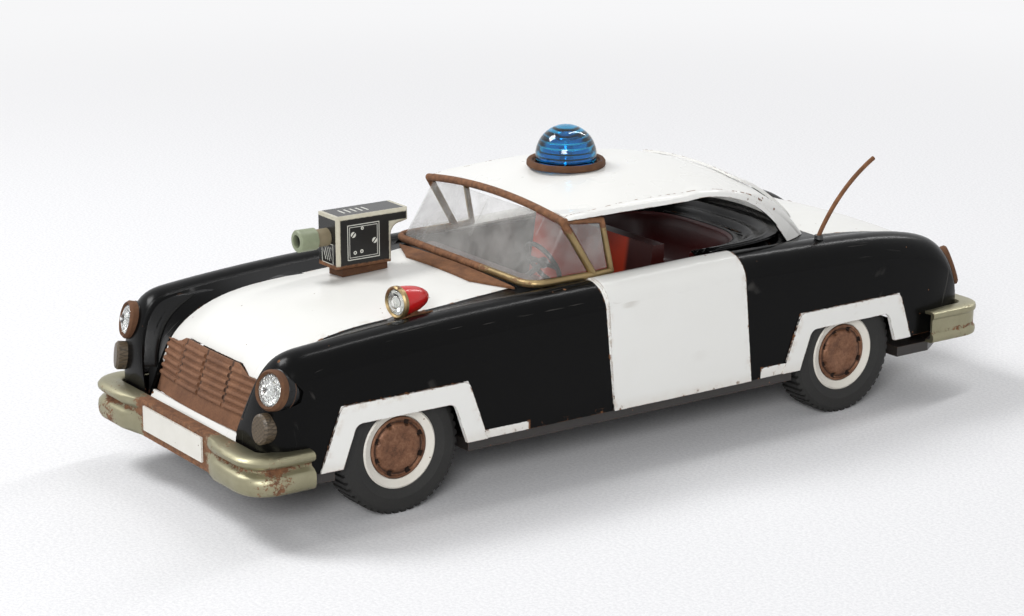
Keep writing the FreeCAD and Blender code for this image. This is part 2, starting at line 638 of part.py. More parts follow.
mouth = grille_block(0.1, -radius - 6, -radius + 8)
mouth.Placement = grille_place
holes.append(mouth)

# ---------------------------------------------------------------- bumpers and number plate
# Channel section: (out from the body, up from the lower edge); a triple is an arc.
LIP_OUT = 9.0


def bumper_section(high):
    outer_side = [
        ((0, high), (6.0, high)), ((6.0, high), (8.2, high - 1.6), (7.2, high - 3.6)),
        ((7.2, high - 3.6), (5.4, high - 5.0)), ((5.4, high - 5.0), (8.2, high - 6.4)),
        ((8.2, high - 6.4), (LIP_OUT, high - 8.4), (8.4, 1.6)), ((8.4, 1.6), (6.4, 0)),
    ]
    inner_side = [
        ((6.4, 0), (5.6, 0.4)), ((5.6, 0.4), (7.4, 2.4)), ((7.4, 2.4), (7.6, high - 6.8)),
        ((7.6, high - 6.8), (4.4, high - 5.2)), ((4.4, high - 5.2), (4.4, high - 4.4)),
        ((4.4, high - 4.4), (6.2, high - 2.4)), ((6.2, high - 2.4), (5.6, high - 1.0)),
        ((5.6, high - 1.0), (0, high - 1.0)), ((0, high - 1.0), (0, high)),
    ]
    return outer_side + inner_side


def bumper(end_y, facing, reach):
    """A bumper that follows the body's end: facing is -1 for the front and 1 for the back."""
    half = mm("bumper_half_width") - LIP_OUT
    low_z, high = mm("bumper_top_z") - mm("bumper_height"), mm("bumper_height")
    back_y = abs(end_y) - LIP_OUT
    bend = 3.0

    def face(x, y, out_x, out_y):
        runs = [tuple(Vector(x + u * out_x, y + u * out_y, low_z + v) for u, v in run) for run in bumper_section(high)]
        return Part.Face(wire(runs))

    middle = face(-(half - bend), back_y, 0, 1).extrude(Vector(2 * (half - bend), 0, 0))
    solids = [middle]
    for side in (1, -1):
        corner = face(side * (half - bend), back_y, 0, 1)
        corner = corner.revolve(Vector(side * (half - bend), back_y - bend, 0), Vector(0, 0, 1), -90 * side)
        arm = face(side * half, back_y - bend, side, 0).extrude(Vector(0, -reach, 0))
        solids += [corner, arm]
    made = joined(solids)
    return made if facing > 0 else made.mirror(Vector(0, 0, 0), Vector(0, 1, 0))


body_and_air = body_form(mm("seat_gap"), mm("sill_z") - 5)
front_bumper = bumper(mm("front_bumper_y"), -1, 11.0).cut(body_and_air)
rear_bumper = bumper(mm("rear_bumper_y"), 1, 21.0).cut(body_and_air)

PLATE_BAY = 1.6  # clear width of the bumper's recess beside the plate
RECESS_OUT = 5.6  # face of the recess, out from the body
bay = mm("plate_half_width") + PLATE_BAY
front_back_y = mm("front_bumper_y") + LIP_OUT
recess_y = front_back_y - RECESS_OUT
bumper_low = mm("bumper_top_z") - mm("bumper_height")
front_bumper = front_bumper.cut(prism_z([(-bay, recess_y), (bay, recess_y), (bay + 4, recess_y - 5), (-bay - 4, recess_y - 5)],
                                        bumper_low - 1, mm("bumper_top_z") + 1))
front_bumper = front_bumper.cut(Part.makeBox(2 * bay, LIP_OUT, 4, Vector(-bay, recess_y, mm("bumper_top_z") - 1.8)))
front_bumper = front_bumper.fuse(Part.makeBox(2 * bay + 4, 1.6, mm("bumper_height") - 1.8,
                                              Vector(-bay - 2, recess_y, bumper_low)))
number_plate = box("number_plate", "-plate_half_width", f"front_bumper_y + {LIP_OUT - RECESS_OUT - 0.7}",
                   "plate_z - plate_height / 2", "plate_half_width * 2", "0.6", "plate_height")

# ---------------------------------------------------------------- wheels and axles
wheel_x = "tyre_face_x - tyre_width / 2"
FACING = {1: Rotation(), -1: Rotation(Vector(0, 0, 1), 180)}


def tyre(name):
    body = turned(name, [
        ("-tyre_width * 0.42", "disc_radius + 0.05"), ("-tyre_width * 0.5", "disc_radius + 3"),
        ("-tyre_width * 0.475", "tyre_radius - 1.8"), ("-tyre_width * 0.4", "tyre_radius"),
        ("tyre_width * 0.4", "tyre_radius"), ("tyre_width * 0.475", "tyre_radius - 1.8"),
        ("tyre_width * 0.5", "disc_radius + 3"), ("tyre_width * 0.42", "disc_radius + 0.05")])
    sketch = sketch_on(body, name + "_notch", "YZ_Plane")
    draw_loop(sketch, [("-0.5", "tyre_radius - lug_depth"), ("0.5", "tyre_radius - lug_depth"),
                       ("0.7", "tyre_radius + 1"), ("-0.7", "tyre_radius + 1")])
    doc.recompute()
    notch = body.newObject("PartDesign::Pocket", name + "_groove")
    notch.Profile = sketch
    notch.Midplane = True
    notch.setExpression("Length", linked("tyre_width + 2"))
    round_tyre = body.newObject("PartDesign::PolarPattern", name + "_grooves")
    round_tyre.Originals = [notch]
    round_tyre.Axis = (sketch, ["N_Axis"])
    round_tyre.Angle = 360
    round_tyre.setExpression("Occurrences", linked("lug_count"))
    body.Tip = round_tyre
    return body


def wheel_disc(name):
    return turned(name, [
        ("3.4", "axle_radius + 0.02"), ("-6", "axle_radius + 0.02"), ("-6", "hub_radius"), ("2.4", "hub_radius"),
        ("2.4", "disc_radius - 1.9"), ("-4.8", "disc_radius - 1.1"), ("-4.8", "disc_radius"),
        ("tyre_width / 2 - 0.9", "disc_radius"), ("tyre_width / 2 - 0.5", "disc_radius - 0.5"),
        ("tyre_width / 2 - dish_depth", "cap_radius + 0.15"), ("3.4", "cap_radius + 0.15")])


def hub_cap(name):
    return turned(name, [
        ("3.45", "0"), ("3.45", "cap_radius"), ("4.4", "cap_radius"), ("5.1", "cap_radius - 0.7"),
        ("5.1", "cap_radius - 1.3"), ("4.3", "cap_radius - 2.1"), ("4.3", "0")])


wheels = []
for place, axle in (("front", "front_axle_y"), ("rear", "rear_axle_y")):
    rod = doc.addObject("Part::Cylinder", place + "_axle")
    rod.setExpression("Radius", linked("axle_radius"))
    rod.setExpression("Height", linked(f"2 * ({wheel_x} + 3.4)"))
    put(rod, f"-({wheel_x} + 3.4)", axle, "tyre_radius", Rotation(Vector(0, 1, 0), 90))
    wheels.append(rod)
    for name, side in (("left", 1), ("right", -1)):
        for make, piece in ((tyre, "tyre"), (wheel_disc, "disc"), (hub_cap, "hub_cap")):
            made = make(f"{place}_{name}_{piece}")
            wheels.append(put(made, f"{side} * ({wheel_x})", axle, "tyre_radius", FACING[side]))

# ---------------------------------------------------------------- base pan with its axle ears
PAN_END, PAN_CORNER, WHEEL_BAY = 9.0, 18.0, 24.0


def pan_corners(inset):
    """Outline of the pan, or of its inside when inset by the sheet's thickness."""
    wide, waist = f"pan_half_width - {inset}", f"pan_waist - {inset}"
    right = [
        (f"{wide} - 6", f"nose_y + {PAN_END} + {inset}"), (wide, f"nose_y + {PAN_CORNER} + {inset}"),
        (wide, f"front_axle_y - {WHEEL_BAY} - {inset}"), (waist, f"front_axle_y - {WHEEL_BAY} - {inset}"),
        (waist, f"front_axle_y + {WHEEL_BAY} + {inset}"), (wide, f"front_axle_y + {WHEEL_BAY} + {inset}"),
        (wide, f"rear_axle_y - {WHEEL_BAY} - {inset}"), (waist, f"rear_axle_y - {WHEEL_BAY} - {inset}"),
        (waist, f"rear_axle_y + {WHEEL_BAY} + {inset}"), (wide, f"rear_axle_y + {WHEEL_BAY} + {inset}"),
        (wide, f"tail_y - {PAN_CORNER} - {inset}"), (f"{wide} - 6", f"tail_y - {PAN_END} - {inset}"),
    ]
    return right + [(f"-({x})", y) for x, y in reversed(right)]


base_pan = padded("base_pan", "XY_Plane", pan_corners("0"), "pan_depth", "pan_z")
doc.recompute()
inside = sketch_on(base_pan, "pan_inside", "XY_Plane", "pan_z + pan_depth")
draw_loop(inside, pan_corners("pan_sheet"))
hollow = base_pan.newObject("PartDesign::Pocket", "pan_hollow")
hollow.Profile = inside
hollow.setExpression("Length", linked("pan_depth - pan_sheet"))
for axle in ("front_axle_y", "rear_axle_y"):
    for low in ("ear_x - ear_sheet", "-ear_x"):
        ear = sketch_on(base_pan, "ear_outline", "YZ_Plane", low)
        draw_loop(ear, [
            (f"{axle} - ear_half_length", "pan_z"), (f"{axle} + ear_half_length", "pan_z"),
            (f"{axle} + ear_half_length * 0.6", "tyre_radius + 4"), (f"{axle} - ear_half_length * 0.6", "tyre_radius + 4")])
        bore = ear.addGeometry(Part.Circle(Vector(mm(axle), mm("tyre_radius"), 0), Vector(0, 0, 1),
                                           mm("axle_radius + axle_clearance")))
        for kind, point, expression in (("DistanceX", 3, axle), ("DistanceY", 3, "tyre_radius")):
            index = ear.addConstraint(Sketcher.Constraint(kind, bore, point, mm(expression)))
            ear.setExpression(f"Constraints[{index}]", linked(expression))
        index = ear.addConstraint(Sketcher.Constraint("Radius", bore, mm("axle_radius + axle_clearance")))
        ear.setExpression(f"Constraints[{index}]", linked("axle_radius + axle_clearance"))
        plate = base_pan.newObject("PartDesign::Pad", "ear")
        plate.Profile = ear
        plate.setExpression("Length", linked("ear_sheet"))

motor_block = box("motor_block", "-motor_half_width", "rear_axle_y - motor_length / 2", "pan_z + pan_sheet",
                  "motor_half_width * 2", "motor_length", "motor_height")
motor_slot = doc.addObject("Part::Cylinder", "motor_slot")
motor_slot.setExpression("Radius", linked("axle_radius + 0.5"))
motor_slot.setExpression("Height", linked("motor_half_width * 2 + 2"))
put(motor_slot, "-motor_half_width - 1", "rear_axle_y", "tyre_radius", Rotation(Vector(0, 1, 0), 90))
drive_unit = doc.addObject("Part::Cut", "drive_unit")
drive_unit.Base, drive_unit.Tool = motor_block, motor_slot

# ---------------------------------------------------------------- cabin
TUB_GAP = 0.6
cabin_tub = padded("cabin_tub", "XY_Plane", [
    (f"-cabin_half_width + {TUB_GAP}", f"cabin_front_y + {TUB_GAP}"),
    (f"cabin_half_width - {TUB_GAP}", f"cabin_front_y + {TUB_GAP}"),
    (f"cabin_half_width - {TUB_GAP}", f"cabin_rear_y - {TUB_GAP}"),
    (f"-cabin_half_width + {TUB_GAP}", f"cabin_rear_y - {TUB_GAP}")],
    "belt_z - 1.8 - tub_floor_z", "tub_floor_z")
doc.recompute()
corners = cabin_tub.newObject("PartDesign::Fillet", "tub_corners")
corners.Base = (cabin_tub.getObject("cabin_tub_pad"), [
    f"Edge{i + 1}" for i, e in enumerate(cabin_tub.getObject("cabin_tub_pad").Shape.Edges) if e.BoundBox.ZLength > 5])
corners.setExpression("Radius", linked(f"cabin_corner - {TUB_GAP}"))
doc.recompute()
shell_out = cabin_tub.newObject("PartDesign::Thickness", "tub_wall")
top_face = max(range(len(corners.Shape.Faces)), key=lambda i: corners.Shape.Faces[i].CenterOfMass.z)
shell_out.Base = (corners, [f"Face{top_face + 1}"])
shell_out.Reversed = True
shell_out.setExpression("Value", linked("wall"))
cabin_tub.Tip = shell_out


def bench(name, outline, half_width="seat_half_width"):
    """A piece of even width across the car, from its (y, z) outline."""
    body = doc.addObject("PartDesign::Body", name)
    sketch = sketch_on(body, name + "_outline", "YZ_Plane")
    draw_loop(sketch, outline)
    pad = body.newObject("PartDesign::Pad", name + "_pad")
    pad.Profile = sketch
    pad.Midplane = True
    pad.setExpression("Length", linked(f"({half_width}) * 2"))
    return body


SEAT_FOOT = "tub_floor_z + wall + 0.1"
front_seat = bench("front_seat", [
    ("-6", SEAT_FOOT), ("16", SEAT_FOOT), ("17", "seat_top_z"), ("12.5", "seat_top_z"),
    ("9", "tub_floor_z + 11"), ("-6", "tub_floor_z + 12")])
rear_seat = bench("rear_seat", [
    ("34", SEAT_FOOT), ("cabin_rear_y - 1.7", SEAT_FOOT), ("cabin_rear_y - 1.7", "seat_top_z - 2"),
    ("cabin_rear_y - 6", "seat_top_z - 2"), ("cabin_rear_y - 11", "tub_floor_z + 11"), ("34", "tub_floor_z + 12")])
dashboard = bench("dashboard", [
    ("cabin_front_y + 1.6", "belt_z - 10"), ("cabin_front_y + 8", "belt_z - 9"), ("cabin_front_y + 9", "belt_z - 4"),
    ("cabin_front_y + 6", "belt_z - 1.5"), ("cabin_front_y + 1.6", "belt_z - 1.5")],
    "cabin_half_width - cabin_corner - 1")
doc.recompute()
WHEEL_AT = Vector(18, -21, 62)
WHEEL_LEAN = 62.0  # the steering wheel's plane, degrees from level
column = Part.makeCylinder(0.9, 14, Vector(0, 0, -14), Vector(0, 0, 1))
spokes = Part.makeBox(15.2, 1.8, 0.8, Vector(-7.6, -0.9, -0.4))
steering = joined([Part.makeTorus(7.6, 0.8), Part.makeSphere(1.9), spokes, column])
steering.Placement = Placement(WHEEL_AT, Rotation(Vector(1, 0, 0), -WHEEL_LEAN))
steering = max(steering.cut(dashboard.Shape).Solids, key=lambda solid: solid.Volume)

# ---------------------------------------------------------------- beacon
UPRIGHT = Rotation(Vector(0, 1, 0), -90)
BEACON_SEAT = "roof_z + 0.1"
beacon_ring = put(turned("beacon_ring", [
    ("0", "beacon_radius + 0.2"), ("0", "beacon_ring_radius - 1.5"), ("beacon_ring_height - 0.6", "beacon_ring_radius"),
    ("beacon_ring_height", "beacon_ring_radius - 0.2"), ("beacon_ring_height", "beacon_ring_radius - 1.2"),
    ("1.4", "beacon_ring_radius - 1.8"), ("1.4", "beacon_radius + 0.2")]), "0", "beacon_y", BEACON_SEAT, UPRIGHT)
DOME_RISE = "beacon_top_z - roof_z - 0.1"
beacon_dome = put(turned("beacon_dome", [
    ("0", "beacon_radius - 0.9"), ("0", "beacon_radius"), (f"{DOME_RISE} - beacon_radius", "beacon_radius",
     "beacon_radius", 1), (DOME_RISE, "0"), (f"{DOME_RISE} - 0.9", "0", "beacon_radius - 0.9", -1),
    (f"{DOME_RISE} - beacon_radius", "beacon_radius - 0.9")]), "0", "beacon_y", BEACON_SEAT, UPRIGHT)
beacon_bulb = put(turned("beacon_bulb", [
    ("0", "0"), ("0", "3.4"), ("3", "3.4"), ("3.6", "2.4"), ("7.4", "2.4", "2.4", 1), ("9.8", "0")]),
    "0", "beacon_y", BEACON_SEAT, UPRIGHT)

# ---------------------------------------------------------------- camera box
NOTCH_Y, NOTCH_DROP, NOTCH_RADIUS, CAMERA_BEVEL = 20.6, 4.8, 3.8, 0.9
CAMERA_TOP = "camera_foot_z + camera_height"
camera_case = padded("camera_case", "YZ_Plane", [
    ("camera_y", "camera_foot_z"), (f"camera_y + {NOTCH_Y}", "camera_foot_z"),
    (f"camera_y + {NOTCH_Y}", f"{CAMERA_TOP} - {NOTCH_DROP + NOTCH_RADIUS}", f"{NOTCH_RADIUS}", 1),
    (f"camera_y + {NOTCH_Y + NOTCH_RADIUS}", f"{CAMERA_TOP} - {NOTCH_DROP}"),
    ("camera_y + camera_length", f"{CAMERA_TOP} - {NOTCH_DROP - 0.6}"),
    ("camera_y + camera_length", CAMERA_TOP), ("camera_y", CAMERA_TOP)], "camera_width", "camera_x - camera_width / 2")
doc.recompute()
bevel = camera_case.newObject("PartDesign::Chamfer", "camera_bevel")
pad_shape = camera_case.getObject("camera_case_pad").Shape
side_faces = [f for f in pad_shape.Faces if abs(f.normalAt(0, 0).x) > 0.9]
bevel.Base = (camera_case.getObject("camera_case_pad"), [
    f"Edge{i + 1}" for i, edge in enumerate(pad_shape.Edges)
    if any(edge.isSame(border) for face in side_faces for border in face.Edges)])
bevel.Size = CAMERA_BEVEL
camera_case.Tip = bevel
barrel_z = f"{CAMERA_TOP} - 7.4"
camera_barrel = put(turned("camera_barrel", [
    ("0.1", "0"), ("0.1", "2.9"), ("4.4", "2.9"), ("4.9", "3.6"), ("11", "3.7"), ("11.4", "3.3"), ("11.4", "2.2"),
    ("8", "2.0"), ("8", "0")]), "camera_x", "camera_y", barrel_z, Rotation(Vector(0, 0, 1), -90))
foot = Part.makeBox(8.4, 17, 8, Vector(mm("camera_x") - 4.2, mm("camera_y") + 3, mm("camera_foot_z") - 8.05))
camera_foot = foot.cut(body_top)

# ---------------------------------------------------------------- spotlight
spot_turn = aimed(8.0, 0.0)
spot_at = ("spot_x", "spot_y", "spot_z", spot_turn)
spot_housing = put(turned("spot_housing", [
    ("-spot_length", "0", cap("spot_radius - 1.2", "3.6"), 1), ("-spot_length + 3.6", "spot_radius - 1.2"),
    ("-0.8", "spot_radius - 0.4"), ("-0.8", "0")]), *spot_at)
spot_rim = put(turned("spot_rim", [
    ("-0.7", "spot_radius - 1.1"), ("-0.7", "spot_radius"), ("0.4", "spot_radius"), ("0.9", "spot_radius - 0.5"),
    ("0.4", "spot_radius - 1.1")]), *spot_at)
spot_lens = put(turned("spot_lens", [
    ("-0.7", "0"), ("-0.7", "spot_radius - 1.2"), ("0.1", "spot_radius - 1.2", cap("spot_radius - 1.2", "1.2"), 1), ("1.3", "0")]),
    *spot_at)
doc.recompute()
stem_at = Vector(mm("spot_x") + 0.6, mm("spot_y") + 5.2, 0)
stem = Part.makeCylinder(1.7, mm("spot_z") - 50, stem_at + Vector(0, 0, 50), Vector(0, 0, 1))
flange = body_form(mm("seat_gap") + 0.8).common(Part.makeBox(8, 9, 30, stem_at + Vector(-3.4, -4.5, 45)))
spot_bracket = stem.fuse(flange).cut(body_top).cut(spot_housing.Shape).cut(spot_rim.Shape)
spot_bracket = max(spot_bracket.Solids, key=lambda solid: solid.Volume)

# ---------------------------------------------------------------- aerial and cowl plate
aerial_start = Vector(mm("aerial_x"), mm("aerial_y"), mm("belt_z") - 0.1)
aerial = tube([(aerial_start, aerial_start + Vector(0, 7.6, 11.2), aerial_start + Vector(0, 23.8, 24.4))],
              mm("aerial_radius"))
grommet = Part.makeCone(2.0, 1.4, 4.0, aerial_start + Vector(0, 0.3, -3.2), Vector(0, 0, 1)).cut(body_top)
aerial_grommet = grommet.cut(tube([(aerial_start + Vector(0, 0, -0.01), aerial_start + Vector(0, 7.6, 11.2),
                                    aerial_start + Vector(0, 23.8, 24.4))], mm("aerial_radius") + 0.02))
aerial_grommet = max(aerial_grommet.Solids, key=lambda solid: solid.Volume)
cowl_zone = prism_z([(-18.5, -50.5), (18.5, -50.5), (34.0, -43.4), (-34.0, -43.4)], 50, 75)
cowl_plate = body_form(mm("seat_gap") + 0.7).cut(body_top).common(cowl_zone)

# ---------------------------------------------------------------- finish the pressing and write the nodes
REAR_SILL_RISE = 3.2
for hole in holes:
    shell = shell.cut(hole)
rear_overhang = Part.makeBox(2 * out_x, 80, REAR_SILL_RISE + 5, Vector(-out_x, mm("rear_axle_y") + 20, mm("sill_z") - 5))
shell = shell.cut(rear_overhang)

for name, shape in (
    ("body_shell", shell), ("roof", roof), ("windscreen_frame", screen_frame), ("windscreen_pane", screen_pane),
    ("vent_panes", Part.makeCompound(vent_panes)), ("rear_window_frame", rear_frame), ("rear_window_pane", rear_pane),
    ("cowl_plate", cowl_plate), ("front_bumper", front_bumper), ("rear_bumper", rear_bumper),
    ("parking_lamps", Part.makeCompound(both_sides(parking))),
    ("tail_lamp_rims", Part.makeCompound(both_sides(tail_rim))),
    ("tail_lamp_lenses", Part.makeCompound(both_sides(tail_lens))),
    ("steering_wheel", steering), ("camera_foot", camera_foot), ("spot_bracket", spot_bracket),
    ("aerial", aerial), ("aerial_grommet", aerial_grommet),
):
    bent(name, shape)
bent("grille", grille, grille_place)
doc.recompute()

NODES = [
    "body_shell", "base_pan", "roof", "windscreen_frame", "windscreen_pane", "vent_panes", "rear_window_frame",
    "rear_window_pane", "grille", "cowl_plate", "front_bumper", "rear_bumper", "number_plate", "headlamp_rims",
    "headlamp_lenses", "parking_lamps", "tail_lamp_rims", "tail_lamp_lenses", "cabin_tub", "front_seat", "rear_seat",
    "dashboard", "steering_wheel", "beacon_ring", "beacon_dome", "beacon_bulb", "camera_case", "camera_barrel",
    "camera_foot", "spot_housing", "spot_rim", "spot_lens", "spot_bracket", "aerial", "aerial_grommet", "drive_unit",
] + [piece.Name for piece in wheels]
faults = [f"{o.Name}: {o.State}" for o in doc.Objects if "Invalid" in o.State or "Error" in o.State]
for name in NODES:
    shape = doc.getObject(name).Shape
    if shape.isNull() or not shape.isValid() or not shape.Solids:
        faults.append(f"{name}: no valid solid")
if faults:
    raise RuntimeError("; ".join(faults))
for name in NODES:
    doc.getObject(name).Shape.exportStep(f"parts/{name}.step")
print(len(NODES), "nodes written")
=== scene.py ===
# %% [markdown]
# # A tin toy patrol car and its worn finishes
# The solids of the car come ready from its CAD model. This lesson gives each of them the finish
# that sixty years of play have left on it: enamel over tinplate, rust where the paint is gone,
# tarnished plating, celluloid, rubber. It also adds the small pieces that are too fine for the
# CAD model.

# %% Load the car
import math

import bmesh
import bpy
from mathutils import Matrix, Vector
from mathutils.bvhtree import BVHTree


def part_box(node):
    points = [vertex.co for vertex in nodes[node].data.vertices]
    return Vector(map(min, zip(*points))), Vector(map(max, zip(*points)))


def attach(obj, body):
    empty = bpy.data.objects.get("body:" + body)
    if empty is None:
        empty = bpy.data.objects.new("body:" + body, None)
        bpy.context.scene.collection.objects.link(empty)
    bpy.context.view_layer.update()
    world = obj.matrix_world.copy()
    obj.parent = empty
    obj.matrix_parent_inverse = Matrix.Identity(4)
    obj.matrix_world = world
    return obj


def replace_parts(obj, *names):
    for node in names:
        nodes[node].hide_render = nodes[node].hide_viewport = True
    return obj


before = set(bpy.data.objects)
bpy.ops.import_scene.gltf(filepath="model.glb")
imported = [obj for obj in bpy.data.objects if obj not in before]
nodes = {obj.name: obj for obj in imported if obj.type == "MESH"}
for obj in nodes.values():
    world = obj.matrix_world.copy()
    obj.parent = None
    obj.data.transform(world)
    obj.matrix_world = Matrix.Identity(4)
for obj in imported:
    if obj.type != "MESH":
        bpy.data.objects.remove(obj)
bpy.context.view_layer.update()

# %% [markdown]
# ## A small language for materials
# A material in Blender is a net of nodes. Drawing it by hand is fine for ten nodes and hopeless
# for two hundred, so the nets here are written as sums. A `Socket` stands for one output of a
# node, and adding, multiplying or comparing two of them makes the Math node that does it. Every
# other node comes from `Net.node`, which takes the kind of node, its settings, and what goes into
# its sockets.

# %% Sockets with arithmetic
def math_node(operation):
    """A method that makes a Math node of one kind from a socket and whatever else goes in."""
    def make(socket, *others):
        return socket.net.node("Math", {"operation": operation}, [socket, *others])
    return make


class Socket:
    """One output of a shader node. Arithmetic on it makes Math nodes."""

    def __init__(self, net, output):
        self.net = net
        self.output = output

    def __rsub__(self, other):
        return self.net.node("Math", {"operation": "SUBTRACT"}, [other, self])

    def __neg__(self):
        return self * -1.0

    __add__ = __radd__ = math_node("ADD")
    __sub__ = math_node("SUBTRACT")
    __mul__ = __rmul__ = math_node("MULTIPLY")
    __truediv__ = math_node("DIVIDE")
    __pow__ = math_node("POWER")
    __abs__ = math_node("ABSOLUTE")
    least = math_node("MINIMUM")
    most = math_node("MAXIMUM")
    sine = math_node("SINE")
    sign = math_node("SIGN")
    fraction = math_node("FRACT")
    turn_from = math_node("ARCTAN2")
    near = math_node("COMPARE")


def highest(values):
    """The highest of several sockets."""
    total, *rest = values
    for value in rest:
        total = total.most(value)
    return total


# %% Nets of nodes
class Net:
    """A tree of shader nodes under construction: a material's, or the world's."""

    def __init__(self, name, owners=None, shader="Principled BSDF"):
        self.owner = (bpy.data.materials if owners is None else owners).new(name)
        self.owner.use_nodes = True
        self.tree = self.owner.node_tree
        self.shader = self.tree.nodes[shader]

    def node(self, kind, settings=None, inputs=(), output=0):
        """Make a node; inputs is a list, or names or places of sockets with what goes into them."""
        made = self.tree.nodes.new("ShaderNode" + kind)
        for setting, value in (settings or {}).items():
            if setting == "stops":
                self.set_stops(made.color_ramp, value)
            else:
                setattr(made, setting, value)
        pairs = inputs.items() if isinstance(inputs, dict) else enumerate(inputs)
        for key, value in pairs:
            self.feed(made.inputs[key], value)
        return Socket(self, made.outputs[output])

    def set_stops(self, ramp, stops):
        while len(ramp.elements) < len(stops):
            ramp.elements.new(1.0)
        for element, (position, colour) in zip(ramp.elements, stops):
            element.position = position
            element.color = (*colour, 1.0)

    def feed(self, socket, value):
        """Link a Socket, or set a plain number, vector or colour."""
        if isinstance(value, Socket):
            self.tree.links.new(value.output, socket)
        elif socket.type == "RGBA":
            socket.default_value = (*value, 1.0)[:4]
        else:
            socket.default_value = value

    def finish(self, **sockets):
        """Set the shader's sockets; spaces in their names are written as underscores."""
        for name, value in sockets.items():
            self.feed(self.shader.inputs[name.replace("_", " ")], value)
        return self.owner

    def place(self):
        """Where a point of the surface is, in millimetres of the car's own frame."""
        found = self.node("TexCoord", output="Object")
        return self.node("VectorMath", {"operation": "SCALE"}, {0: found, "Scale": 1000.0})

    def parts(self, vector):
        """The x, y and z of a vector."""
        split = self.node("SeparateXYZ", None, [vector])
        return [Socket(self, output) for output in split.output.node.outputs]

    def lean(self):
        """The x, y and z of the surface's normal."""
        return self.parts(self.node("NewGeometry", output="Normal"))

    def blend(self, factor, first, second):
        """The first colour where factor is 0, the second where it is 1."""
        return self.node("Mix", {"data_type": "RGBA"}, {0: factor, 6: first, 7: second}, output=2)

    def tones(self, value, stops):
        """Colours along a ramp."""
        return self.node("ValToRGB", {"stops": stops}, [value])

    def noise(self, place, scale, detail=3.0, roughness=0.55):
        inputs = {"Vector": place, "Scale": scale, "Detail": detail, "Roughness": roughness}
        return self.node("TexNoise", None, inputs)

    def cells(self, place, scale, output="Distance"):
        return self.node("TexVoronoi", None, {"Vector": place, "Scale": scale}, output=output)

    def stretched(self, place, factors, turn):
        return self.node("Mapping", None, {"Vector": place, "Rotation": turn, "Scale": factors})

    def step(self, value, low, high):
        """0 below low, 1 above high, and smooth between."""
        inputs = [value, low, high, 0.0, 1.0]
        return self.node("MapRange", {"interpolation_type": "SMOOTHSTEP"}, inputs)

    def below(self, value, low, high):
        """1 below low, 0 above high, and smooth between."""
        return self.step(-value, -high, -low)

    def ragged(self, place, scale):
        """A noise with rough borders."""
        return self.noise(place, scale, 4.0, 0.7)

    def patches(self, place, scale, low, high):
        """Ragged patches: 1 where the rough noise is above high."""
        return self.step(self.ragged(place, scale), low, high)

    def bump(self, height, distance, strength):
        """A bump in millimetres from a height of 0 to 1."""
        inputs = {"Strength": strength, "Distance": distance / 1000.0, "Height": height}
        return self.node("Bump", None, inputs)


def begin(name):
    """A new material, the place of its points, and that place's x, y and z."""
    net = Net(name)
    place = net.place()
    return (net, place, *net.parts(place))


# %% [markdown]
# ## Where the paint changes colour
# The body is one pressing, printed black and white before it was stamped. The white fields follow
# the raised door panels, the raised bands round the wheel openings, a short tail of each band
# along the sill, and the creases beside the bonnet and boot. Each field is written below as a
# distance to its border, in millimetres, positive inside. A distance does two jobs: its sign
# paints the field, and where it is near 0 the paint is chipped.

# %% Distances to the borders of the white fields
FRONT_AXLE, REAR_AXLE = -95.3, 83.6
ARCH_TOP, ARCH_HALF_TOP, ARCH_HALF_FOOT, ARCH_FOOT_Z = 39.4, 22.6, 31.7, 14.5
DOOR_FRONT, DOOR_REAR, DOOR_FOOT_Z = -14.9, 41.7, 5.0
DOOR_FRONT_LEAN, DOOR_REAR_LEAN = 0.1128, 0.1145
LID_HALF_NOSE, LID_HALF, LID_WIDENING = 27.6, 30.9, 2.6
CABIN_FRONT, CABIN_REAR = -43.0, 81.5
NOSE_TAPER, LID_TAPER = (-142.0, -131.0), (-60.0, 20.0)
FRONT_TAIL, REAR_TAIL, TAIL_FOOT_Z = (-59.5, 10.0, 22.2), (50.0, 5.5, 23.0), 15.0
SIDE_FROM_X = 38.0


def inside_arch(y, z, axle):
    """Distance inside the raised band's outer border."""
    rise = ARCH_TOP - ARCH_FOOT_Z
    run = ARCH_HALF_FOOT - ARCH_HALF_TOP
    along = abs(y - axle)
    slope = ((ARCH_HALF_FOOT - along) * rise - (z - ARCH_FOOT_Z) * run) / math.hypot(rise, run)
    return slope.least(ARCH_TOP - z)


def inside_tail(y, z, middle, half, top):
    """Distance inside the low white strip beside a wheel opening."""
    return (half - abs(y - middle)).least(top - z)


def inside_door(y, z):
    """Distance inside the two leaning edges of the door panel."""
    height = z - DOOR_FOOT_Z
    front = y - DOOR_FRONT + height * DOOR_FRONT_LEAN
    return front.least(DOOR_REAR - y - height * DOOR_REAR_LEAN)


def inside_lid(net, x, y):
    """Bonnet and boot: between the creases, apart from the cabin between them."""
    nose = net.node("MapRange", None, [y, *NOSE_TAPER, LID_HALF_NOSE, LID_HALF])
    widening = net.node("MapRange", None, [y, *LID_TAPER, 0.0, LID_WIDENING])
    outside_cabin = (CABIN_FRONT - y).most(y - CABIN_REAR)
    return (nose + widening - abs(x)).least(outside_cabin)


def white_field(net, place):
    """Distance to the nearest border of the white paint, positive on the white side."""
    x, y, z = net.parts(place)
    front_tail = inside_tail(y, z, *FRONT_TAIL).least(z - TAIL_FOOT_Z)
    rear_tail = inside_tail(y, z, *REAR_TAIL)
    on_side = highest([inside_arch(y, z, FRONT_AXLE), inside_arch(y, z, REAR_AXLE), front_tail,
                       rear_tail, inside_door(y, z)])
    return on_side.least(abs(x) - SIDE_FROM_X).most(inside_lid(net, x, y))


print("white fields: arches", round(2 * ARCH_HALF_FOOT, 1), "mm long at their feet, doors",
      round(DOOR_REAR - DOOR_FRONT, 1), "mm at theirs")

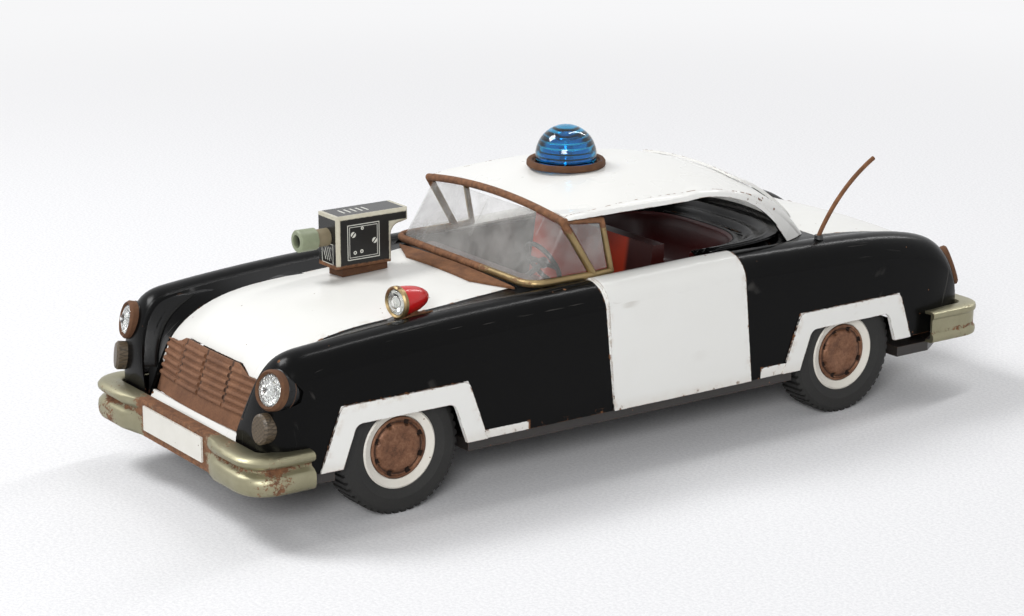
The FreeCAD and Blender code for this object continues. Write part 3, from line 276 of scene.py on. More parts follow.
# %% [markdown]
# ## Enamel
# Stoving enamel on tin is glossy and thin. Age shows in three ways: long fine scratches, flecks
# of rust where a chip went through to the steel, and a dull bloom in the gloss. Noise with a high
# threshold makes the flecks, noise stretched along one direction makes the scratches, and the
# Bevel node, which tells how near a sharp edge is, says where hands have rubbed the paint away.

# %% What age does to enamel
RUST_DARK = (0.075, 0.030, 0.014)
RUST_MID = (0.175, 0.078, 0.035)
RUST_WARM = (0.27, 0.125, 0.055)
SCRATCH_TURNS = [(0.3, 0.2, 0.4), (1.1, 0.5, 1.9), (0.2, 1.4, 2.7)]


def rust_colour(net, place):
    """Brown rust in three tones."""
    tone = net.noise(place, 0.55, 5.0, 0.65)
    return net.tones(tone, [(0.3, RUST_DARK), (0.52, RUST_MID), (0.74, RUST_WARM)])


def scratches(net, place, turns):
    """Fine straight scratches in several directions, 1 on a scratch."""
    layers = []
    for turn in turns:
        lines = net.noise(net.stretched(place, (2.6, 0.045, 0.045), turn), 1.0, 2.0, 0.5)
        patch = net.noise(net.stretched(place, (0.05, 0.05, 0.05), turn), 1.0, 1.0, 0.5)
        layers.append(net.step(lines, 0.70, 0.74) * net.step(patch, 0.47, 0.62))
    return highest(layers)


def flecks(net, place, scale, size, share):
    """Round-ish chips: share of the cells have one, of about this size in millimetres."""
    wobble = net.noise(place, 1.3) * 0.5
    distance = net.cells(place, scale) / scale
    chosen = net.node("SeparateColor", None, [net.cells(place, scale, output="Color")])
    here = net.step(chosen, 1.0 - share, 1.0 - share + 0.02)
    return net.step(size - distance - wobble * size, 0.0, size * 0.25) * here


def line_at(net, distance, half):
    """1 within half a line's width of where distance is 0."""
    return net.below(abs(distance) - half, -0.06, 0.06)


def edge_wear(net, radius, low, high):
    """1 on the sharp edges of a piece, from how far its rounded normal leans from the true one."""
    rounded = net.node("Bevel", {"samples": 6}, {"Radius": radius / 1000.0})
    true = net.node("NewGeometry", output="Normal")
    lean = net.node("VectorMath", {"operation": "DOT_PRODUCT"}, [rounded, true], output="Value")
    return net.step(1 - lean, low, high)


# %% Rust and paint of the body
BLACK_ENAMEL, BLOOMED_BLACK = (0.0012, 0.0012, 0.0013), (0.003, 0.003, 0.003)
WHITE_ENAMEL, AGED_WHITE = (0.80, 0.80, 0.775), (0.76, 0.755, 0.72)
BLACK_SCRATCH, WHITE_SCRATCH = (0.10, 0.095, 0.088), (0.45, 0.42, 0.37)
STAIN = (0.42, 0.30, 0.19)


def body_rust(net, place, field):
    """1 on worn edges and borders (but not on the folds of the nose), on the sill and in chips."""
    x, y, z = net.parts(place)
    wear = edge_wear(net, 0.5, 0.05, 0.25) * net.patches(place, 0.28, 0.44, 0.54)
    border = net.below(abs(field), 0.1, 0.55) * net.patches(place, 0.35, 0.56, 0.62)
    folds = net.below(y, -126.0, -122.0) * net.step(z, 25.0, 28.0)
    folds = folds * net.step(abs(x), 26.0, 28.0)
    sill = net.below(z, 19.5, 21.5) * net.patches(place, 0.3, 0.58, 0.66)
    chips = [flecks(net, place, 0.085, 0.8, 0.4), flecks(net, place, 0.3, 0.4, 0.16)]
    return highest([wear.most(border) * (1 - folds), sill, *chips])


def body_paint(net, place, field, scratch, dull):
    """Black and white enamel, stained near the border and along the sill."""
    z = net.parts(place)[2]
    black = net.blend(dull, BLACK_ENAMEL, BLOOMED_BLACK)
    black = net.blend(scratch * 0.35, black, BLACK_SCRATCH)
    pale = net.blend(net.noise(place, 0.05, 4.0), WHITE_ENAMEL, AGED_WHITE)
    pale = net.blend(scratch * 0.4, pale, WHITE_SCRATCH)
    near_border = net.below(field, 0.0, 3.0) * net.patches(place, 0.2, 0.5, 0.7)
    stain = near_border.most(net.below(z, 18.0, 24.0) * net.noise(place, 0.3))
    pale = net.blend(stain * 0.45, pale, STAIN)
    return net.blend(net.step(field, -0.05, 0.05), black, pale)


# %% The enamelled body
def body_enamel():
    net = Net("body_enamel")
    place = net.place()
    field = white_field(net, place) + (net.noise(place, 0.8) - 0.5) * 0.35
    rust = body_rust(net, place, field)
    scratch = scratches(net, place, SCRATCH_TURNS)
    dull = net.noise(place, 0.03, 4.0, 0.6)
    paint = body_paint(net, place, field, scratch, dull)
    return net.finish(
        Base_Color=net.blend(rust, paint, rust_colour(net, place)),
        Roughness=0.16 + dull * 0.16 + scratch * 0.2 + rust * 0.5,
        Specular_IOR_Level=0.08, Coat_Weight=0.03, Coat_Roughness=0.08,
        Normal=net.bump((1 - rust) + net.noise(place, 0.04, 2.0) * 0.8, 0.12, 0.5))


materials = {"body_enamel": body_enamel()}
print("body enamel:", len(materials["body_enamel"].node_tree.nodes), "nodes")

# %% [markdown]
# ## The roof
# The roof is a pressing of its own, white outside and printed black inside, with soft ridges in
# the lining. One solid has both skins, so the finish asks which way a face looks: down, or
# inwards near the sides, is lining. Its rust keeps to the drip rails and the feet of the rear
# pillars.

# %% White roof
def roof_rust(net, place):
    x, y, _ = net.parts(place)
    wear = edge_wear(net, 0.45, 0.06, 0.3) * net.patches(place, 0.3, 0.5, 0.58)
    near_rail = net.step(abs(x), 33.0, 41.0)
    rail_chips = flecks(net, place, 0.3, 0.6, 0.5)
    rail_chips = rail_chips * net.step(net.noise(place, 0.06, 2.0) * near_rail, 0.4, 0.52)
    seam = line_at(net, abs(x) - 37.6, 0.18) * net.patches(place, 0.45, 0.52, 0.56)
    pillar = flecks(net, place, 0.4, 0.7, 0.5) * net.step(y, 40.0, 52.0)
    pillar = pillar * net.step(abs(x), 30.0, 35.0)
    return highest([wear, rail_chips, seam, pillar, flecks(net, place, 0.12, 0.45, 0.2)])


def roof_enamel():
    net, place, x, y, z = begin("roof_enamel")
    rust = roof_rust(net, place)
    scratch = scratches(net, place, SCRATCH_TURNS[:2])
    pale = net.blend(net.noise(place, 0.05, 4.0), WHITE_ENAMEL, (0.77, 0.765, 0.735))
    pale = net.blend(scratch * 0.3, pale, (0.5, 0.48, 0.44))
    paint = net.blend(rust, pale, rust_colour(net, place))
    lean_x, _, lean_z = net.lean()
    inward = -(lean_x * x.sign())
    facing_in = net.step(inward, 0.45, 0.6) * net.step(abs(x), 31.0, 32.0)
    lining = net.below(lean_z, -0.2, -0.1).most(facing_in)
    ridges = ((z + y * 0.35) * 1.1).sine() * lining
    return net.finish(
        Base_Color=net.blend(lining, paint, (0.006, 0.006, 0.006)),
        Roughness=0.2 + net.noise(place, 0.04) * 0.16 + rust * 0.5,
        Specular_IOR_Level=0.3, Coat_Weight=0.08, Coat_Roughness=0.12,
        Normal=net.bump((1 - rust) + ridges * 1.5, 0.3, 0.4))


materials["roof_enamel"] = roof_enamel()
print("roof enamel:", len(materials["roof_enamel"].node_tree.nodes), "nodes")

# %% [markdown]
# ## Bare metal
# The grille, the lamp rings, the cowl plate and the ring under the beacon have lost their plating
# and are evenly brown. The bumpers and the windscreen frame still have theirs, gone greenish,
# with rust breaking through in the grooves. The grille's grooves are darkened as painted shade,
# from a distance again: dark where it is near 0.

# %% Brown rust
def brown_rust(name, gloss=0.0, tint=1.0):
    net = Net(name)
    place = net.place()
    grain = net.noise(place, 1.6, 6.0, 0.7)
    tone = net.noise(place, 0.22, 4.0, 0.6) * 0.6 + grain * 0.4
    middle, warm = [tuple(part * tint for part in colour) for colour in (RUST_MID, RUST_WARM)]
    return net.finish(
        Base_Color=net.tones(tone, [(0.3, RUST_DARK), (0.5, middle), (0.68, warm)]),
        Roughness=0.82 - gloss + grain * 0.15, Metallic=0.25 + gloss * 0.6,
        Normal=net.bump(grain, 0.12, 0.7))


def grille_rust():
    """Three upright grooves part the bars above a plain apron; painted shade darkens the grooves.
    """
    net, place, x, _, z = begin("grille_rust")
    grain = net.noise(place, 1.6, 6.0, 0.7)
    tone = net.noise(place, 0.16, 4.0, 0.6) * 0.5 + grain * 0.5
    wander = (grain - 0.5) * 0.5
    groove = line_at(net, x + wander, 0.45).most(line_at(net, abs(x) - 14.6 + wander, 0.45))
    groove = groove * net.step(z, 34.0, 35.5)
    colour = net.tones(tone, [(0.3, (0.085, 0.036, 0.018)), (0.5, (0.175, 0.080, 0.040)),
                              (0.7, (0.265, 0.130, 0.068))])
    # painted shade: the grooves are drawn near black on top of their bump
    return net.finish(
        Base_Color=net.blend(groove * 0.8, colour, (0.03, 0.014, 0.008)),
        Roughness=0.7 + grain * 0.15, Metallic=0.2,
        Normal=net.bump(grain * 0.35 - groove * 1.5, 0.35, 0.8))


materials["brown_rust"] = brown_rust("brown_rust")
# A darker rust for the lamp rings and the beacon's ring; on the camera foot it is painted shade
# under the box.
materials["dark_rust_and_foot_shade"] = brown_rust("dark_rust_and_foot_shade", 0.1, 0.62)
materials["grille_rust"] = grille_rust()


# %% Coppery hub caps
NOTCHES, NOTCH_MIDDLE, GROOVE_MIDDLE = 8, 8.35, 8.3
WHEEL_RADIUS = 21.0


def cap_rust():
    """Coppery caps, near black in the groove and in the eight notches."""
    net, place, _, y, z = begin("cap_rust")
    at_front = y.near(FRONT_AXLE, 30.0)
    along = y - (at_front * FRONT_AXLE + (1 - at_front) * REAR_AXLE)
    up = z - WHEEL_RADIUS
    radius = (along * along + up * up) ** 0.5
    turn = along.turn_from(up) * (NOTCHES / (2 * math.pi))
    spoke = abs((turn + NOTCHES).fraction() - 0.5)
    grain = net.noise(place, 1.2, 6.0, 0.7)
    notch = net.below(spoke, 0.11, 0.15) * net.below(abs(radius - NOTCH_MIDDLE) - 0.75, -0.1, 0.1)
    groove = net.below(abs(radius - GROOVE_MIDDLE) - 0.45 + grain * 0.3, -0.2, 0.15) * 0.75
    dark_hollows = notch.most(groove)
    tone = net.noise(place, 0.2, 4.0, 0.6) * 0.5 + grain * 0.5
    copper = net.tones(tone, [(0.34, (0.07, 0.030, 0.016)), (0.5, (0.17, 0.075, 0.038)),
                              (0.66, (0.27, 0.135, 0.075))])
    return net.finish(
        Base_Color=net.blend(dark_hollows, copper, (0.022, 0.012, 0.008)), Metallic=0.45,
        Roughness=0.42 + dark_hollows * 0.4 + grain * 0.1,
        Normal=net.bump(grain * 0.5 + (1 - dark_hollows), 0.25, 0.7))


materials["cap_rust"] = cap_rust()


# %% Tarnished plating
GREEN_PLATING = ((0.37, 0.35, 0.24), (0.22, 0.20, 0.12))
BRASS_PLATING = ((0.42, 0.31, 0.15), (0.17, 0.12, 0.06))


def tarnished_plating(name, bare, rusted, where):
    """Plating of one colour, with rust where a noise lies above a threshold that `where` lowers."""
    net = Net(name)
    place = net.place()
    broad = net.noise(place, 0.07, 5.0, 0.65)
    fine = net.ragged(place, 0.9)
    rust = net.step(broad * 0.6 + fine * 0.4 + where(net, place), rusted, rusted + 0.06)
    rust = rust.most(edge_wear(net, 0.4, 0.08, 0.35) * net.step(fine, 0.5, 0.6) * 0.8)
    metal = net.blend(net.noise(place, 0.12, 5.0, 0.7), *bare)
    metal = net.blend(flecks(net, place, 0.5, 0.3, 0.2) * 0.8, metal, (0.1, 0.06, 0.035))
    return net.finish(
        Base_Color=net.blend(rust, metal, rust_colour(net, place)),
        Metallic=0.85 - rust * 0.75, Roughness=0.34 + fine * 0.12 + rust * 0.42,
        Normal=net.bump(fine * 0.5 + rust, 0.12, 0.6))


def bumper_rust(net, place):
    """The groove has rusted, and the middle of the front bumper most."""
    x, y, z = net.parts(place)
    centre = net.below(abs(x), 19.0, 27.0) * net.below(y, -1.0, 0.0)
    return centre * 0.22 + net.below(abs(z - 23.6), 0.3, 1.4) * 0.13


def screen_rust(net, place):
    """The top and foot bars have rusted through; the near half of the foot is still brassy."""
    x, y, z = net.parts(place)
    foot = net.below(y, -32.0, -27.0) * net.below(x, 8.0, 26.0)
    return net.step(z, 76.5, 79.0).most(foot) * 0.24


for name, bare, rusted, where in (("bumper_plating", GREEN_PLATING, 0.565, bumper_rust),
                                  ("brass_plating", BRASS_PLATING, 0.56, screen_rust)):
    materials[name] = tarnished_plating(name, bare, rusted, where)
print("finishes so far:", sorted(materials))


# %% [markdown]
# ## Plastic, celluloid, rubber
# The panes are celluloid that has clouded and scratched. Clouding is mostly seen as a loss of
# clearness, so it drives the alpha. Lenses and the beacon are thicker: they bend light, and take
# transmission instead. All other moulded or printed surfaces share one recipe of two close
# colours, apart from the driver's seat, which is painted bright in front as if lit and dark
# elsewhere as painted shade, and the tyres.

# %% Celluloid panes
def celluloid():
    net = Net("celluloid")
    place = net.place()
    cloud = net.noise(place, 0.06, 5.0, 0.6)
    turns = [(0.6, 0.1, 0.2), (0.9, 0.6, 1.2), (0.1, 1.2, 2.0), (1.7, 0.3, 0.9)]
    scratch = scratches(net, place, turns)
    haze = net.step(cloud, 0.35, 0.75)
    return net.finish(
        Base_Color=(0.50, 0.49, 0.47), Roughness=0.1 + haze * 0.2 + scratch * 0.3,
        Alpha=0.12 + haze * 0.24 + scratch * 0.5, Normal=net.bump(cloud, 0.3, 0.3))


materials["celluloid"] = celluloid()


# %% Clear and coloured plastic
CLEAR = {
    "clear_lens": ((0.95, 0.96, 0.95), 0.03),
    "blue_dome": ((0.015, 0.34, 0.62), 0.03),
    "red_lens": ((0.75, 0.05, 0.03), 0.08),
}


def clear_plastic(name, colour, roughness):
    net = Net(name)
    bloom = net.noise(net.place(), 0.25, 4.0, 0.6)
    return net.finish(Base_Color=colour, Roughness=roughness + bloom * 0.1, IOR=1.49,
                      Transmission_Weight=1.0)


for name, (colour, roughness) in CLEAR.items():
    materials[name] = clear_plastic(name, colour, roughness)
print("clear plastics:", sorted(CLEAR))


# %% Moulded and printed surfaces
MOULDED = {  # two colours, roughness, and the share of rusty chips
    "red_plastic": ((0.62, 0.012, 0.012), (0.48, 0.008, 0.01), 0.16),
    "black_plastic": ((0.015, 0.015, 0.015), (0.03, 0.03, 0.03), 0.4),
    "seat_print": ((0.055, 0.004, 0.003), (0.03, 0.003, 0.003), 0.35),
    "black_print": ((0.013, 0.013, 0.014), (0.022, 0.021, 0.02), 0.24),
    "white_print": ((0.74, 0.73, 0.68), (0.6, 0.58, 0.52), 0.35, 0.25),
    "pan_paint": ((0.014, 0.013, 0.013), (0.03, 0.024, 0.02), 0.35, 0.4),
    "disc_enamel": ((0.76, 0.735, 0.67), (0.62, 0.585, 0.51), 0.4, 0.1),
    "pod_enamel": ((0.0022, 0.0022, 0.0024), (0.006, 0.006, 0.006), 0.16),
    "bare_steel": ((0.35, 0.33, 0.30), (0.22, 0.2, 0.18), 0.4),
    "silver_bowl": ((0.8, 0.8, 0.78), (0.62, 0.62, 0.6), 0.12),
}
ALSO = {"bare_steel": {"Metallic": 0.9}, "silver_bowl": {"Metallic": 0.9},
        "pod_enamel": {"Specular_IOR_Level": 0.25}}


def moulded(name, light, dark, roughness, chipped=0.0):
    """Opaque moulded or printed surface with a little variation and dust."""
    net = Net(name)
    place = net.place()
    tone = net.noise(place, 0.1, 5.0, 0.65)
    grain = net.noise(place, 1.4, 4.0, 0.6)
    colour = net.blend(tone, light, dark)
    if chipped:
        worn = edge_wear(net, 0.35, 0.08, 0.3) * net.step(grain, 0.47, 0.55)
        chips = flecks(net, place, 0.4, 0.4, chipped).most(worn)
        colour = net.blend(chips, colour, rust_colour(net, place))
    return net.finish(Base_Color=colour, Roughness=roughness + tone * 0.12,
                      Normal=net.bump(grain, 0.06, 0.4), **ALSO.get(name, {}))


for name, recipe in MOULDED.items():
    materials[name] = moulded(name, *recipe)
print("moulded and printed:", len(MOULDED))


# %% Driver's seat and tyres
def driver_seat_print():
    """Painted light: bright red where it faces the windscreen, dark maroon as painted shade on its
    sides and back.
    """
    net, place, x, *_ = begin("driver_seat_print")
    lean = net.lean()
    # painted light: faces towards the windscreen get the bright lit red, the rest the shaded maroon
    facing = net.below(lean[1], -0.8, -0.3) * net.below(x, 18.0, 21.0)
    colour = net.blend(facing, (0.035, 0.004, 0.003), (0.60, 0.055, 0.02))
    cloud = net.noise(place, 0.15, 4.0)
    return net.finish(Base_Color=net.blend(cloud * 0.4, colour, (0.02, 0.004, 0.003)),
                      Roughness=0.35)


def tyre_rubber():
    net = Net("tyre_rubber")
    place = net.place()
    dust = net.noise(place, 0.12, 5.0, 0.7)
    grain = net.ragged(place, 1.8)
    colour = net.blend(dust, (0.005, 0.005, 0.005), (0.017, 0.016, 0.014))
    return net.finish(Base_Color=colour, Roughness=0.62 + grain * 0.2,
                      Normal=net.bump(grain, 0.08, 0.5))


materials["driver_seat_print"] = driver_seat_print()
materials["tyre_rubber"] = tyre_rubber()


# %% [markdown]
# ## The printed camera box
# The camera on the bonnet is a folded tin box. Its black print stops short of the edges, which
# leaves a worn cream border, and carries a few simple marks: a double frame, two slotted screw
# heads, three small rings, louvre bars on top and a slanted hatch on the front. They are thin
# flat ink, so they are drawn in the finish from the place of each point, as bands of distance.

# %% Shapes for print
def frame_line(net, u, v, middle, half_size, half):
    """The outline of a rectangle."""
    away = (abs(u - middle[0]) - half_size[0]).most(abs(v - middle[1]) - half_size[1])
    return line_at(net, away, half)


def inside_disc(u, v, middle, radius):
    """Distance inside a disc."""
    du, dv = u - middle[0], v - middle[1]
    return radius - (du * du + dv * dv) ** 0.5


# %% Camera marks
CAMERA_NEAR_X, CAMERA_FRONT_Y, CAMERA_TOP_Z = -9.7, -82.0, 79.8
CAMERA_MIDDLE_X, CAMERA_LENGTH, CAMERA_FOOT_Z = -16.0, 27.0, 61.0
PANEL = (-72.2, 70.9)
SCREW_HEADS = ((-76.0, 73.4), (-68.0, 70.6))
RINGS = (((-72.6, 75.2), 0.55), ((-75.4, 67.4), 0.62), ((-72.9, 67.6), 0.62))


def side_marks(net, y, z):
    """The near side: a double frame, two slotted screw heads and three rings."""
    marks = [frame_line(net, y, z, PANEL, (5.9, 5.7), 0.13),
             frame_line(net, y, z, PANEL, (5.2, 5.0), 0.09)]
    for head in SCREW_HEADS:
        disc = inside_disc(y, z, head, 0.95)
        slot = line_at(net, (y - head[0]) + (z - head[1]) * -0.9, 0.28)
        marks.append(net.step(disc, -0.05, 0.05) * (1 - slot))
    for ring, size in RINGS:
        disc = inside_disc(y, z, ring, size)
        marks.append(net.step(disc, -0.05, 0.05) * (1 - net.step(disc, 0.32, 0.38)))
    return highest(marks)


def top_marks(net, x, y):
    """Five louvre bars."""
    louvre = highest([line_at(net, y - (-76.5 + bar * 2.2), 0.32) for bar in range(5)])
    return louvre * net.below(abs(x + 16.2), 2.1, 2.3)


def front_marks(net, x, z):
    """A slanted hatch in a frame."""
    middle = (CAMERA_MIDDLE_X, 67.0)
    slant = ((x * 0.9 + z * 0.35) * 0.9).fraction()
    outside = (abs(x - middle[0]) - 2.4).most(abs(z - middle[1]) - 2.3)
    bars = line_at(net, slant - 0.5, 0.12) * net.below(outside, -0.1, 0.0)
    return frame_line(net, x, z, middle, (3.4, 3.3), 0.14).most(bars)


# %% Camera print
CREAM, SOILED_CREAM = (0.62, 0.60, 0.50), (0.42, 0.38, 0.28)
STEP_BACK, STEP_DOWN, RUST_LINE_Z = 20.6, 4.8, 63.6


def camera_print():
    net, place, x, y, z = begin("camera_print")
    lean_x, lean_y, lean_z = net.lean()
    on_side = net.step(abs(lean_x), 0.8, 0.9)
    on_top = net.step(lean_z, 0.8, 0.9)
    on_front = net.below(lean_y, -0.9, -0.8)
    ragged = (net.ragged(place, 0.9) - 0.5) * 0.9

    # cream borders: how far a point of each face is from that face's edge
    from_front, from_top, from_side = y - CAMERA_FRONT_Y, CAMERA_TOP_Z - z, CAMERA_NEAR_X - x
    stepped = (STEP_BACK + CAMERA_FRONT_Y - y).most(z - (CAMERA_TOP_Z - STEP_DOWN))
    side_in = from_front.least(from_top).least(stepped).least(z - CAMERA_FOOT_Z)
    top_in = from_front.least(CAMERA_FRONT_Y + CAMERA_LENGTH - y).least(from_side)
    inside = side_in * on_side + top_in * on_top + from_top.least(from_side) * on_front
    printed = net.step(inside + ragged * 0.45, 1.05, 1.3)

    marks = highest([side_marks(net, y, z) * on_side, top_marks(net, x, y) * on_top,
                     front_marks(net, x, z) * on_front])
    cream = net.blend(net.ragged(place, 0.5), CREAM, SOILED_CREAM)
    black = net.blend(net.noise(place, 0.2, 4.0), (0.008, 0.008, 0.008), (0.018, 0.017, 0.015))
    colour = net.blend(printed, cream, black)
    colour = net.blend(marks * printed, colour, (0.66, 0.66, 0.60))
    bottom = net.step(RUST_LINE_Z - z + ragged, -0.3, 0.3)
    chips = flecks(net, place, 0.45, 0.5, 0.25) * (1 - printed)
    worn = edge_wear(net, 0.3, 0.1, 0.4) * net.step(ragged, 0.12, 0.2)
    rust = highest([bottom, chips, worn])
    return net.finish(
        Base_Color=net.blend(rust, colour, rust_colour(net, place)),
        Roughness=0.26 + rust * 0.4, Specular_IOR_Level=0.3,
        Normal=net.bump(1 - rust, 0.08, 0.4))


# %% Camera barrel
BARREL_MIDDLE = (CAMERA_MIDDLE_X, 72.4)


def barrel_paint():
    """Pale green paint, worn to brown metal on the neck, with a near-black disc of painted shade in
    the bore.
    """
    net, place, x, y, z = begin("barrel_paint")
    ragged = (net.ragged(place, 0.8) - 0.5) * 1.6
    neck = net.step(y + ragged, -87.2, -86.6) * 0.75
    green = net.blend(net.ragged(place, 0.35), (0.27, 0.31, 0.20), (0.17, 0.19, 0.12))
    # painted shade: a near-black disc stands for the dark inside of the bore
    bore_shade = net.step(inside_disc(x, z, BARREL_MIDDLE, 2.15), -0.05, 0.1)
    colour = net.blend(neck, green, (0.21, 0.15, 0.09))
    colour = net.blend(bore_shade, colour, (0.008, 0.008, 0.008))
    return net.finish(Base_Color=colour, Roughness=0.45 + neck * 0.2,
                      Normal=net.bump(net.noise(place, 0.9, 4.0), 0.1, 0.4))


materials["camera_print"] = camera_print()
materials["barrel_paint"] = barrel_paint()
print("camera finishes made")

# %% [markdown]
# ## Parking lamps
# The small lamps under the headlamps are moulded with a cross-hatch whose lines are drawn darker.
# Two saw-tooth waves at right angles, made with the fraction of a sum, draw it without any
# geometry.

# %% Parking lamps
def parking_lens():
    """Cross-hatched moulding, olive brown, darker in the hatch lines."""
    net, place, x, _, z = begin("parking_lens")
    one, two = [abs((across * 0.75).fraction() - 0.5) for across in (x + z, x - z)]
    hatch = net.step(one.most(two), 0.36, 0.46)
    olive = net.blend(net.ragged(place, 0.4), (0.13, 0.095, 0.058), (0.06, 0.042, 0.026))
    colour = net.blend(hatch * 0.7, olive, (0.035, 0.027, 0.018))
    return net.finish(Base_Color=colour, Roughness=0.42,
                      Normal=net.bump(1 - hatch, 0.25, 0.7))


materials["parking_lens"] = parking_lens()
print(len(materials), "finishes made")

# %% [markdown]
# ## Dressing the solids
# Each solid of the CAD model takes the finish of the real piece, except the camera foot, whose
# dark rust is painted shade under the box. The table goes by finish.

# %% Which piece has which finish
NODES_WITH = {
    "body_enamel": "body_shell", "roof_enamel": "roof rear_window_frame",
    "white_print": "number_plate", "pan_paint": "base_pan", "black_print": "cabin_tub",
    "seat_print": "rear_seat dashboard", "driver_seat_print": "front_seat",
    "celluloid": "windscreen_pane vent_panes rear_window_pane",
    "clear_lens": "headlamp_lenses spot_lens", "blue_dome": "beacon_dome",
    "red_lens": "tail_lamp_lenses", "parking_lens": "parking_lamps", "silver_bowl": "beacon_bulb",
    "brass_plating": "windscreen_frame spot_rim", "bumper_plating": "front_bumper rear_bumper",
    "grille_rust": "grille", "brown_rust": "cowl_plate beacon_ring spot_bracket aerial",
    # the camera foot is painted dark as shade under the box
    "dark_rust_and_foot_shade": "headlamp_rims tail_lamp_rims camera_foot",
    "black_plastic": "steering_wheel aerial_grommet", "red_plastic": "spot_housing",
    "camera_print": "camera_case", "barrel_paint": "camera_barrel",
    "bare_steel": "drive_unit front_axle rear_axle",
}
FINISH_OF = {name: finish for finish, names in NODES_WITH.items() for name in names.split()}
for end in ("front", "rear"):
    for side in ("left", "right"):
        FINISH_OF[f"{end}_{side}_tyre"] = "tyre_rubber"
        FINISH_OF[f"{end}_{side}_disc"] = "disc_enamel"
        FINISH_OF[f"{end}_{side}_hub_cap"] = "cap_rust"

for name, node in nodes.items():
    node.data.materials.clear()
    node.data.materials.append(materials[FINISH_OF[name]])
    node.data.polygons.foreach_set("use_smooth", [True] * len(node.data.polygons))
print(len(nodes), "solids dressed")

# %% [markdown]
# ## A fuller roof
# The real roof swells a little more in its middle than its solid does. A copy of the solid's own
# surface is raised by a smooth amount that is nothing at the rails, at the windscreen and at the
# foot of the pillars, so every neighbour still meets it.

# %% Raised roof
MM = 0.001
CROWN = 3.3
ROOF_HALF_WIDTH, FALL_AT_RAILS = 41.0, 0.85
RISE_Y, RISE_Z, FALL_Y = (-32.0, 0.0), (61.0, 79.0), (70.0, 84.0)


def smooth(value, low, high):
    """0 below low, 1 above high, and smooth between, for plain numbers."""
    share = min(max((value - low) / (high - low), 0.0), 1.0)
    return share * share * (3.0 - 2.0 * share)


def crown(point):
    """How much higher the real skin is at a point, both in metres."""
    x, y, z = (value / MM for value in point)
    rise = smooth(y, *RISE_Y) * smooth(z, *RISE_Z) * (1.0 - smooth(y, *FALL_Y))
    return CROWN * MM * rise * (1.0 - FALL_AT_RAILS * min(abs(x) / ROOF_HALF_WIDTH, 1.0) ** 3)


def linked(name, data):
    """An object of the scene with this mesh, lamp or camera."""
    made = bpy.data.objects.new(name, data)
    bpy.context.scene.collection.objects.link(made)
    return made


def raised(node_name, piece_name):
    """A copy of a node's mesh, lifted by the crown."""
    source = nodes[node_name]
    mesh = source.data.copy()
    for vertex in mesh.vertices:
        vertex.co.z += crown(vertex.co)
    made = linked(piece_name, mesh)
    made.matrix_world = source.matrix_world
    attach(made, "car")
    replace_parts(made, node_name)
    return made


roof_skin = raised("roof", "roof_skin")
raised("rear_window_frame", "rear_window_border")
raised("rear_window_pane", "rear_window_celluloid")
raised("beacon_bulb", "beacon_lamp")
roof_top = max(vertex.co.z for vertex in roof_skin.data.vertices)
print("the roof's highest point is now", round(roof_top, 4))

# %% [markdown]
# ## From lines of points to a piece
# Every new piece below is a skin stretched over neighbouring lines of points. Lamps, dome, bullet
# and hub caps are round: their lines are rings, spun from a profile that is written as places
# along an axis and radii. The bench, the bumpers and the seams of the nose have lines of their
# own.

# %% Skins and pieces
def skin(shape, lines, closed):
    """Quads between neighbouring lines of points; a closed line also joins its end to its start."""
    count = len(lines[0])
    if closed:
        pairs = [(step, step - 1) for step in range(count)]
    else:
        pairs = [(step, step + 1) for step in range(count - 1)]
    for line, after in zip(lines, lines[1:]):
        for here, there in pairs:
            shape.faces.new((line[here], line[there], after[there], after[here]))


def piece(name, shape, finish_name, body="car", crisp=None, sheet=None):
    """A smooth piece: crisp is the angle that stays an edge, sheet a thickness and an offset."""
    bmesh.ops.recalc_face_normals(shape, faces=shape.faces)
    mesh = bpy.data.meshes.new(name)
    shape.to_mesh(mesh)
    shape.free()
    mesh.polygons.foreach_set("use_smooth", [True] * len(mesh.polygons))
    mesh.materials.append(materials[finish_name])
    made = linked(name, mesh)
    if crisp:
        made.modifiers.new("crisp", "EDGE_SPLIT").split_angle = math.radians(crisp)
    if sheet:
        thick = made.modifiers.new("sheet", "SOLIDIFY")
        thick.thickness, thick.offset = sheet[0] * MM, sheet[1]
    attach(made, body)
    return made


# %% Turning a profile
def aimed(at, yaw, pitch, side=1):
    """Local +X faces forward, turned outward by yaw and up by pitch, at a point in millimetres."""
    across = Matrix.Rotation(math.radians(yaw * side - 90.0), 4, "Z")
    up = Matrix.Rotation(math.radians(-pitch), 4, "Y")
    return Matrix.Translation(Vector((at[0] * side, at[1], at[2])) * MM) @ (across @ up)


def upright(at):
    """Local +X points up."""
    return Matrix.Translation(Vector(at) * MM) @ Matrix.Rotation(math.radians(-90.0), 4, "Y")


def turned(name, profile, places, finish_name, body="car", steps=72, push=None):
    """Spin a closed profile; push(along, radius, turn) may move points along the axis."""
    shape = bmesh.new()
    for place in places:
        rings = []
        for along, radius in profile:
            ring = []
            for step in range(steps):
                turn = 2 * math.pi * step / steps
                moved = along + (push(along, radius, turn) if push else 0.0)
                point = Vector((moved, radius * math.cos(turn), radius * math.sin(turn))) * MM
                ring.append(shape.verts.new(place @ point))
            rings.append(ring)
        skin(shape, rings + rings[:1], closed=True)
    bmesh.ops.remove_doubles(shape, verts=shape.verts, dist=1e-7)
    return piece(name, shape, finish_name, body, crisp=38.0)


def arc(middle, radii, start, end, steps):
    """Points of an ellipse's arc, from start to end degrees."""
    turns = [math.radians(start + (end - start) * step / steps) for step in range(steps + 1)]
    return [(middle[0] + radii[0] * math.cos(turn), middle[1] + radii[1] * math.sin(turn))
            for turn in turns]


# %% [markdown]
# ## Beacon
# The dome is clear blue plastic, smooth outside and stepped inside, so that it flashes in rings.
# A real thickness matters: light has to bend twice, so the dome is a closed wall with both its
# skins.

